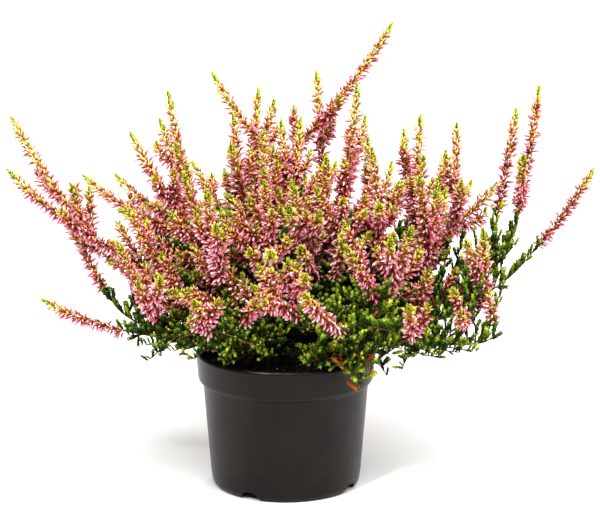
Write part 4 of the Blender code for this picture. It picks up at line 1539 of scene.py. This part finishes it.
@dataclass
class NurseryPot:
    """A thin round pot with a deep rim band, and short drain channels under its edge."""

    finishes: Finishes
    steps: int = 136
    softness: float = 0.9  # how far from a corner the moulding's curves begin
    smooth_below: float = 32.0  # degrees between faces that are shaded as one

    def build(self) -> None:
        """Turns the wall, cuts the channels and the drains, and replaces the frame's pot."""
        pot = turned("nursery_pot", self.outside(), self.steps)
        inside = turned("pot_inside", self.inside(), self.steps)
        cut(inside, *self.channels(WALL))
        cut(pot, *self.channels(0.0), inside)
        cut(pot, *self.drains())
        pot.data.set_sharp_from_angle(angle=math.radians(self.smooth_below))
        pot.data.materials.clear()
        pot.data.materials.append(self.finishes.pot)
        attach(pot, ROOT)
        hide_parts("pot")
        LOG.info("%s: %d faces", pot.name, len(pot.data.polygons))

    def outside(self) -> np.ndarray:
        """The outer profile, from the middle of the mouth down to the middle of the foot."""
        corners = [
            (0.0, POT_HEIGHT),
            (RIM_RADIUS - 1.2, POT_HEIGHT),
            (RIM_RADIUS, POT_HEIGHT - 2.1),
            (RIM_RADIUS - 0.4, POT_HEIGHT - 4.2),
            (BAND_RADIUS, BAND_FOOT + 2.6),
            (BAND_RADIUS - 1.1, BAND_FOOT + 0.6),
            (WALL_TOP_RADIUS + 0.2, BAND_FOOT - 1.0),
            (WALL_FOOT_RADIUS, 9.0),
            (WALL_FOOT_RADIUS - 0.8, 3.2),
            (FOOT_RADIUS, 0.0),
            (0.0, 0.0),
        ]
        return filleted(corners, self.softness)

    def inside(self) -> np.ndarray:
        """The profile of the hollow, which keeps the wall's thickness."""
        corners = [
            (0.0, POT_HEIGHT + 3.0),
            (RIM_RADIUS - 1.9, POT_HEIGHT + 3.0),
            (RIM_RADIUS - 1.9, POT_HEIGHT - 3.6),
            (BAND_RADIUS - WALL, BAND_FOOT + 3.0),
            (WALL_TOP_RADIUS - WALL, BAND_FOOT + 0.7),
            (WALL_FOOT_RADIUS - WALL, 9.0),
            (WALL_FOOT_RADIUS - WALL - 1.0, 3.6),
            (FOOT_RADIUS - WALL, WALL + 0.2),
            (0.0, WALL + 0.2),
        ]
        return filleted(corners, self.softness)

    def turns(self) -> list[float]:
        """Where the channels lie round the axis, from the front towards the right."""
        return [CHANNEL_TURN + i * math.tau / CHANNELS for i in range(CHANNELS)]

    def channels(self, grow: float) -> list[Object]:
        """The spaces of the drain channels, narrower at their tops, grown by a clearance."""
        slope = (CHANNEL_HALF_WIDTH - CHANNEL_HALF_TOP) / CHANNEL_HEIGHT
        found = []
        for i, turn in enumerate(self.turns()):
            sections = []
            for z in (-2.0, CHANNEL_HEIGHT + grow):
                half = CHANNEL_HALF_WIDTH + grow - slope * (z - grow)
                near, far = CHANNEL_START - grow, RIM_RADIUS
                sections += [(near, -half, z), (far, -half, z), (far, half, z), (near, half, z)]
            mesh = bpy.data.meshes.new(f"channel_{i}")
            faces = [(3, 2, 1, 0), (4, 5, 6, 7), (0, 1, 5, 4), (1, 2, 6, 5), (2, 3, 7, 6), (3, 0, 4, 7)]
            mesh.from_pydata((np.array(sections) * MM).tolist(), [], faces)
            channel = new_object(mesh.name, mesh)
            channel.rotation_euler.z = turn - math.pi / 2
            found.append(channel)
        return found

    def drains(self) -> list[Object]:
        """The spaces of the drain holes, one through the roof of each channel."""
        found = []
        for i, turn in enumerate(self.turns()):
            profile = [(0, 9.0), (DRAIN_RADIUS, 9.0), (DRAIN_RADIUS, 3.0), (0, 3.0)]
            drain = turned(f"drain_{i}", np.array(profile), 24)
            drain.location = (DRAIN_CIRCLE * MM * math.sin(turn), -DRAIN_CIRCLE * MM * math.cos(turn), 0.0)
            found.append(drain)
        return found


@dataclass
class PeatBed:
    """The peat: an uneven crumbly surface with loose crumbs, perlite and root fibres on it."""

    finishes: Finishes
    steps: int = 150
    rings: int = 46
    relief: float = 1.3  # how far its lumps rise and sink
    crumbs: int = 420
    grit: int = 46
    fibres: int = 40
    litter: int = 60  # shed brown leaves
    seed: int = 31

    def build(self) -> None:
        """Makes the bed, in place of the frame's soil, and then what lies on it."""
        clear = WALL + GAP + 0.2
        floor = CHANNEL_HEIGHT + WALL + 2 * GAP
        edge = BAND_RADIUS - clear
        top = [(r, self.level(r)) for r in np.linspace(0.0, edge, self.rings)]
        below = [
            (edge, BAND_FOOT + 3.4),
            (WALL_TOP_RADIUS - clear, BAND_FOOT + 1.1),
            (WALL_FOOT_RADIUS - clear - 0.3, floor),
            (0.0, floor),
        ]
        bed = turned("peat_bed", np.array([*top, *below]), self.steps)
        for vertex in bed.data.vertices:
            if vertex.co.z > (SOIL_EDGE - 0.2) * MM:
                spread = vertex.co.xy.length / MM
                vertex.co.z += self.bump(vertex.co / MM) * min(1.0, (edge - spread) / 4.0) * MM
        bed.data.shade_smooth()
        bed.data.materials.append(self.finishes.peat)
        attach(bed, ROOT)
        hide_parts("soil")
        self.strew(edge - 2.0)

    def level(self, spread: float) -> float:
        """The height of the even surface at a distance from the axis."""
        return float(np.interp(spread, (0.0, 44.0, BAND_RADIUS), (SOIL_TOP - 0.6, SOIL_TOP - 1.4, SOIL_EDGE)))

    def bump(self, place: Vector) -> float:
        """How far the surface rises or sinks at a place."""
        coarse = noise.noise(Vector((place.x, place.y, 0.0)) / 9.0)
        fine = noise.noise(Vector((place.x, place.y, 7.0)) / 2.6)
        return self.relief * (0.55 * coarse + 0.6 * fine)

    def strew(self, reach: float) -> None:
        """Crumbs, perlite, fibres and shed leaves lying on the surface."""
        draw = np.random.default_rng(self.seed)
        growth = Growth()
        for part, many, low, high, flat in (
            (Part.CRUMB, self.crumbs, 0.9, 2.6, 0.8),
            (Part.GRIT, self.grit, 0.9, 2.0, 0.9),
            (Part.DRY, self.litter, 1.6, 3.4, 0.3),
        ):
            lengths = draw.uniform(low, high, many)
            template = grain_template(int(draw.integers(1000)))
            grains = Copies(
                places=self.on_surface(draw, many, reach),
                axes=draw.normal(size=(many, 3)) * (1.0, 1.0, 0.3),
                uppers=draw.normal(size=(many, 3)),
                lengths=lengths,
                widths=0.5 * flat * lengths,
                tones=draw.uniform(0.0, 1.0, many),
            )
            growth.scatter(template, grains, part)
        for place in self.on_surface(draw, self.fibres, reach - 6.0):
            turn, length = draw.uniform(0, math.tau), draw.uniform(6.0, 15.0)
            end = place + length * direction(turn, 0.0)
            middle = (place + end) / 2 + draw.normal(size=3) * 2.0
            middle[2] = place[2] + 1.6
            path = Path(bezier(place, middle, middle, end + 0.3 * UP, 12))
            growth.tube(
                Track(path), 0.0, path.length, (0.16, 0.1), Part.DRY, sides=3, spacing=1.6,
                tone=draw.uniform(0.2, 0.8),
            )
        piece = growth.piece("peat_litter", self.finishes.by_part)
        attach(piece, ROOT)

    def on_surface(self, draw: np.random.Generator, many: int, reach: float) -> np.ndarray:
        """Evenly spread places on the bumpy surface."""
        spread, turn = reach * np.sqrt(draw.uniform(0.0, 1.0, many)), draw.uniform(0.0, math.tau, many)
        flat = np.stack([spread * np.cos(turn), spread * np.sin(turn)], axis=1)
        heights = [self.level(s) + self.bump(Vector((*place, 0.0))) for s, place in zip(spread, flat)]
        return np.column_stack([flat, heights])


@dataclass
class Heather:
    """The plant: leafy branches and flower spikes on the frame's paths."""

    plan: Plan
    finishes: Finishes
    stem: LeafyStem = field(default_factory=LeafyStem)
    spike: FlowerSpike = field(default_factory=FlowerSpike)
    trunk_radii: tuple = (1.7, 1.1)  # at the foot and at the end
    leader_radii: tuple = (0.85, 0.6)
    twig_radii: tuple = (0.65, 0.4)
    wisp_radii: tuple = (0.6, 0.3)
    wisp_foot: float = 0.8  # where wisps leave the trunk, as a share of its length
    short_radii: tuple = (0.6, 0.45)
    short_foot: float = 0.42  # the leafy part of a short spike
    bare: float = 5.0  # the length without shoots at the foot of a leader or a twig
    side_foot: tuple = (6.0, 0.5)  # a side spike's length without buds at its foot, and its radius
    spray_foot: tuple = (3.0, 0.36)
    seed: int = 11

    def build(self) -> None:
        """Makes every branch and every spike."""
        for i, name in enumerate(BRANCHES):
            self.leafy_branch(name, np.random.default_rng(self.seed + i))
        for i, name in enumerate(SPIKES):
            self.flower_spike(name, np.random.default_rng(self.seed + 100 + i))
        for i, name in enumerate(BRANCHES):
            self.short_spikes(name, np.random.default_rng(self.seed + 200 + i))

    def leafy_branch(self, name: str, draw: np.random.Generator) -> None:
        """A woody stem with its forks, its leafy twigs and their side shoots."""
        growth = Growth()
        trunk = Track(self.plan.trunks[name])
        growth.tube(trunk, 0.0, trunk.length, self.trunk_radii, Part.WOOD, sides=8, tone=0.0, knots=0.12)
        bare = HOLE_DEPTH + COLLAR + 6.0
        branch = BRANCHES[name]
        self.stem.dress(growth, trunk, bare, trunk.length, draw, branch, *Shoots.TRUNK.value)
        for spike, leader in self.plan.leaders.items():
            if SPIKES[spike].branch == name:
                track = Track(leader)
                end = self.plan.foot(spike) - GAP / 2
                growth.tube(track, 0.0, end, self.leader_radii, Part.WOOD, tone=0.14, knots=0.08)
                flowers = end + min(0.0, SPIKES[spike].begin)
                self.stem.dress(growth, track, self.bare, flowers, draw, branch, *Shoots.LEADER.value)
                if flowers < end:
                    self.spike.set_buds(growth, track, flowers, end, draw, top=False)
        for twig in self.plan.twigs[name]:
            self.leafy_twig(growth, twig, draw, branch, Shoots.TWIG)
        for twig in self.plan.fine_twigs[name]:
            self.leafy_twig(growth, twig, draw, branch, Shoots.FINE_TWIG)
        for wisp in WISPS.get(name, ()):
            track = Track(Path(bezier(self.plan.trunks[name].at(self.wisp_foot * trunk.length), *wisp.ends)))
            growth.tube(track, 0.0, track.length, self.wisp_radii, Part.WOOD, tone=0.2)
            bare = (1.0 - wisp.share) * track.length
            self.stem.dress(growth, track, bare, track.length, draw, branch, wisp.tone, wisp.size, wisp.part)
        self.settle(growth, f"foliage_{name}", Slot.LEAF, f"leafy_branch_{name}")

    def leafy_twig(
        self, growth: Growth, twig: Path, draw: np.random.Generator, branch: Branch, shoots: Shoots
    ) -> None:
        """A thin twig with its side shoots, which cover its end."""
        track = Track(twig)
        tone, size = shoots.value
        thick, thin = self.twig_radii
        growth.tube(track, 0.0, track.length - 3.0, (size * thick, thin), Part.WOOD, tone=0.26)
        self.stem.dress(growth, track, self.bare, track.length - 1.0, draw, branch, tone, size)

    def short_spikes(self, name: str, draw: np.random.Generator) -> None:
        """The small spikes that fill the crown over one branch, if it has any."""
        growth = Growth()
        for path in self.plan.short_spikes[name]:
            track = Track(path)
            foot = self.short_foot * track.length
            growth.tube(track, 0.0, foot, self.short_radii, Part.WOOD, sides=5, tone=0.4)
            self.stem.dress(growth, track, 3.0, foot, draw, BRANCHES[name], *Shoots.SHORT_SPIKE.value)
            self.spike.dress(growth, track, foot, track.length, 0.0, draw, self.short_radii[1])
        if growth.count:
            self.settle(growth, f"short_spikes_{name}", Slot.FLOWER)

    def flower_spike(self, name: str, draw: np.random.Generator) -> None:
        """A flower spike with its side spikes and short sprays."""
        growth = Growth()
        leader = Track(self.plan.leaders[name])
        foot, leafy = self.plan.foot(name) + GAP / 2, max(0.0, SPIKES[name].begin)
        branch = BRANCHES[SPIKES[name].branch]
        self.spike.dress(growth, leader, foot, leader.length, 1.0 + leafy, draw)
        self.stem.dress(growth, leader, foot, foot + leafy, draw, branch, *Shoots.SPIKE_FOOT.value)
        for stems, bare, radius in ((self.plan.sides, *self.side_foot), (self.plan.sprays, *self.spray_foot)):
            for stem in stems[name]:
                track = Track(stem)
                self.spike.dress(growth, track, 0.0, track.length, bare, draw, radius)
        self.settle(growth, f"bloom_{name}", Slot.FLOWER, f"flower_spike_{name}")

    def settle(self, growth: Growth, name: str, slot: Slot, *nodes: str) -> None:
        """Makes a piece and ties it to the frame.

        Args:
            growth: what it is made of.
            name: the piece's name.
            slot: its slot in the record; not used.
            nodes: the frame's nodes that it stands in place of.
        """
        piece = growth.piece(name, self.finishes.by_part)
        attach(piece, ROOT)
        if nodes:
            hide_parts(*nodes)
        LOG.info("%s: %d faces", piece.name, len(piece.data.polygons))


@dataclass(frozen=True)
class Sun:
    """A far-off light: its strength, the degrees that it is across, and the side that it shines from."""

    name: str
    strength: float
    size: float
    side: tuple

    def build(self) -> None:
        """Adds it to the scene."""
        data = bpy.data.lights.new(self.name, "SUN")
        data.energy, data.angle = self.strength, math.radians(self.size)
        light = bpy.data.objects.new(self.name, data)
        bpy.context.scene.collection.objects.link(light)
        light.rotation_mode = "QUATERNION"
        light.rotation_quaternion = (-Vector(self.side)).to_track_quat("-Z", "Y")


@dataclass
class Studio:
    """A pale floor, soft light and the camera."""

    target: tuple = (9.5, 0.0, 154.5)
    distance: float = 1700.0
    elevation: float = 13.2
    lens: float = 154.3
    sensor: float = 36.0
    floor_radius: float = 12.0  # metres
    floor_drop: float = 0.0002  # below the pot's foot, in metres
    fill: float = 0.18  # the world's strength
    suns: tuple = (
        Sun("key", 3.6, 64.0, (0.3, -0.7, 1.2)),  # broad, from the upper right in front
        Sun("glint", 1.35, 8.0, (-0.5, -0.8, 0.85)),  # small, from the left in front
        Sun("edge", 0.8, 20.0, (0.25, 0.9, 0.45)),  # low, from behind
    )

    def build(self) -> None:
        """Sets up everything that isn't the plant or its pot."""
        self.make_floor()
        self.make_world()
        for sun in self.suns:
            sun.build()
        self.make_camera()
        view = bpy.context.scene.view_settings
        view.view_transform = "Standard"
        view.look = "Medium High Contrast"

    def make_floor(self) -> None:
        """A round white floor, wide enough to fill the picture."""
        mesh = bpy.data.meshes.new("floor")
        turns = [math.tau * i / 64 for i in range(64)]
        radius = self.floor_radius
        rim = [(radius * math.cos(t), radius * math.sin(t), -self.floor_drop) for t in turns]
        mesh.from_pydata(rim, [], [list(range(64))])
        material, _, shader = new_material("studio floor", 0.9)
        shader.inputs["Base Color"].default_value = linear("#fcfcfa")
        mesh.materials.append(material)
        new_object("floor", mesh)

    def make_world(self) -> None:
        """Dim even light from all round."""
        world = bpy.data.worlds.new("studio")
        world.use_nodes = True
        background = world.node_tree.nodes["Background"]
        background.inputs["Color"].default_value = linear("#ffffff")
        background.inputs["Strength"].default_value = self.fill
        bpy.context.scene.world = world

    def make_camera(self) -> None:
        """The camera at the photograph's angle."""
        data = bpy.data.cameras.new("camera")
        data.lens, data.sensor_width = self.lens, self.sensor
        data.clip_start, data.clip_end = 0.1, 100.0
        camera = bpy.data.objects.new("camera", data)
        bpy.context.scene.collection.objects.link(camera)
        tilt = math.radians(self.elevation)
        back = Vector((0.0, -math.cos(tilt), math.sin(tilt)))
        camera.location = (Vector(self.target) + self.distance * back) * MM
        camera.rotation_mode = "QUATERNION"
        camera.rotation_quaternion = (-back).to_track_quat("-Z", "Y")
        bpy.context.scene.camera = camera


def main() -> None:
    """Builds the sub-assemblies in order."""
    logging.basicConfig(level=logging.INFO, format="%(name)s: %(message)s")
    finishes = Finishes()
    Studio().build()
    NurseryPot(finishes).build()
    PeatBed(finishes).build()
    plan = Plan()
    Heather(plan, finishes).build()


if __name__ == "__main__":
    main()
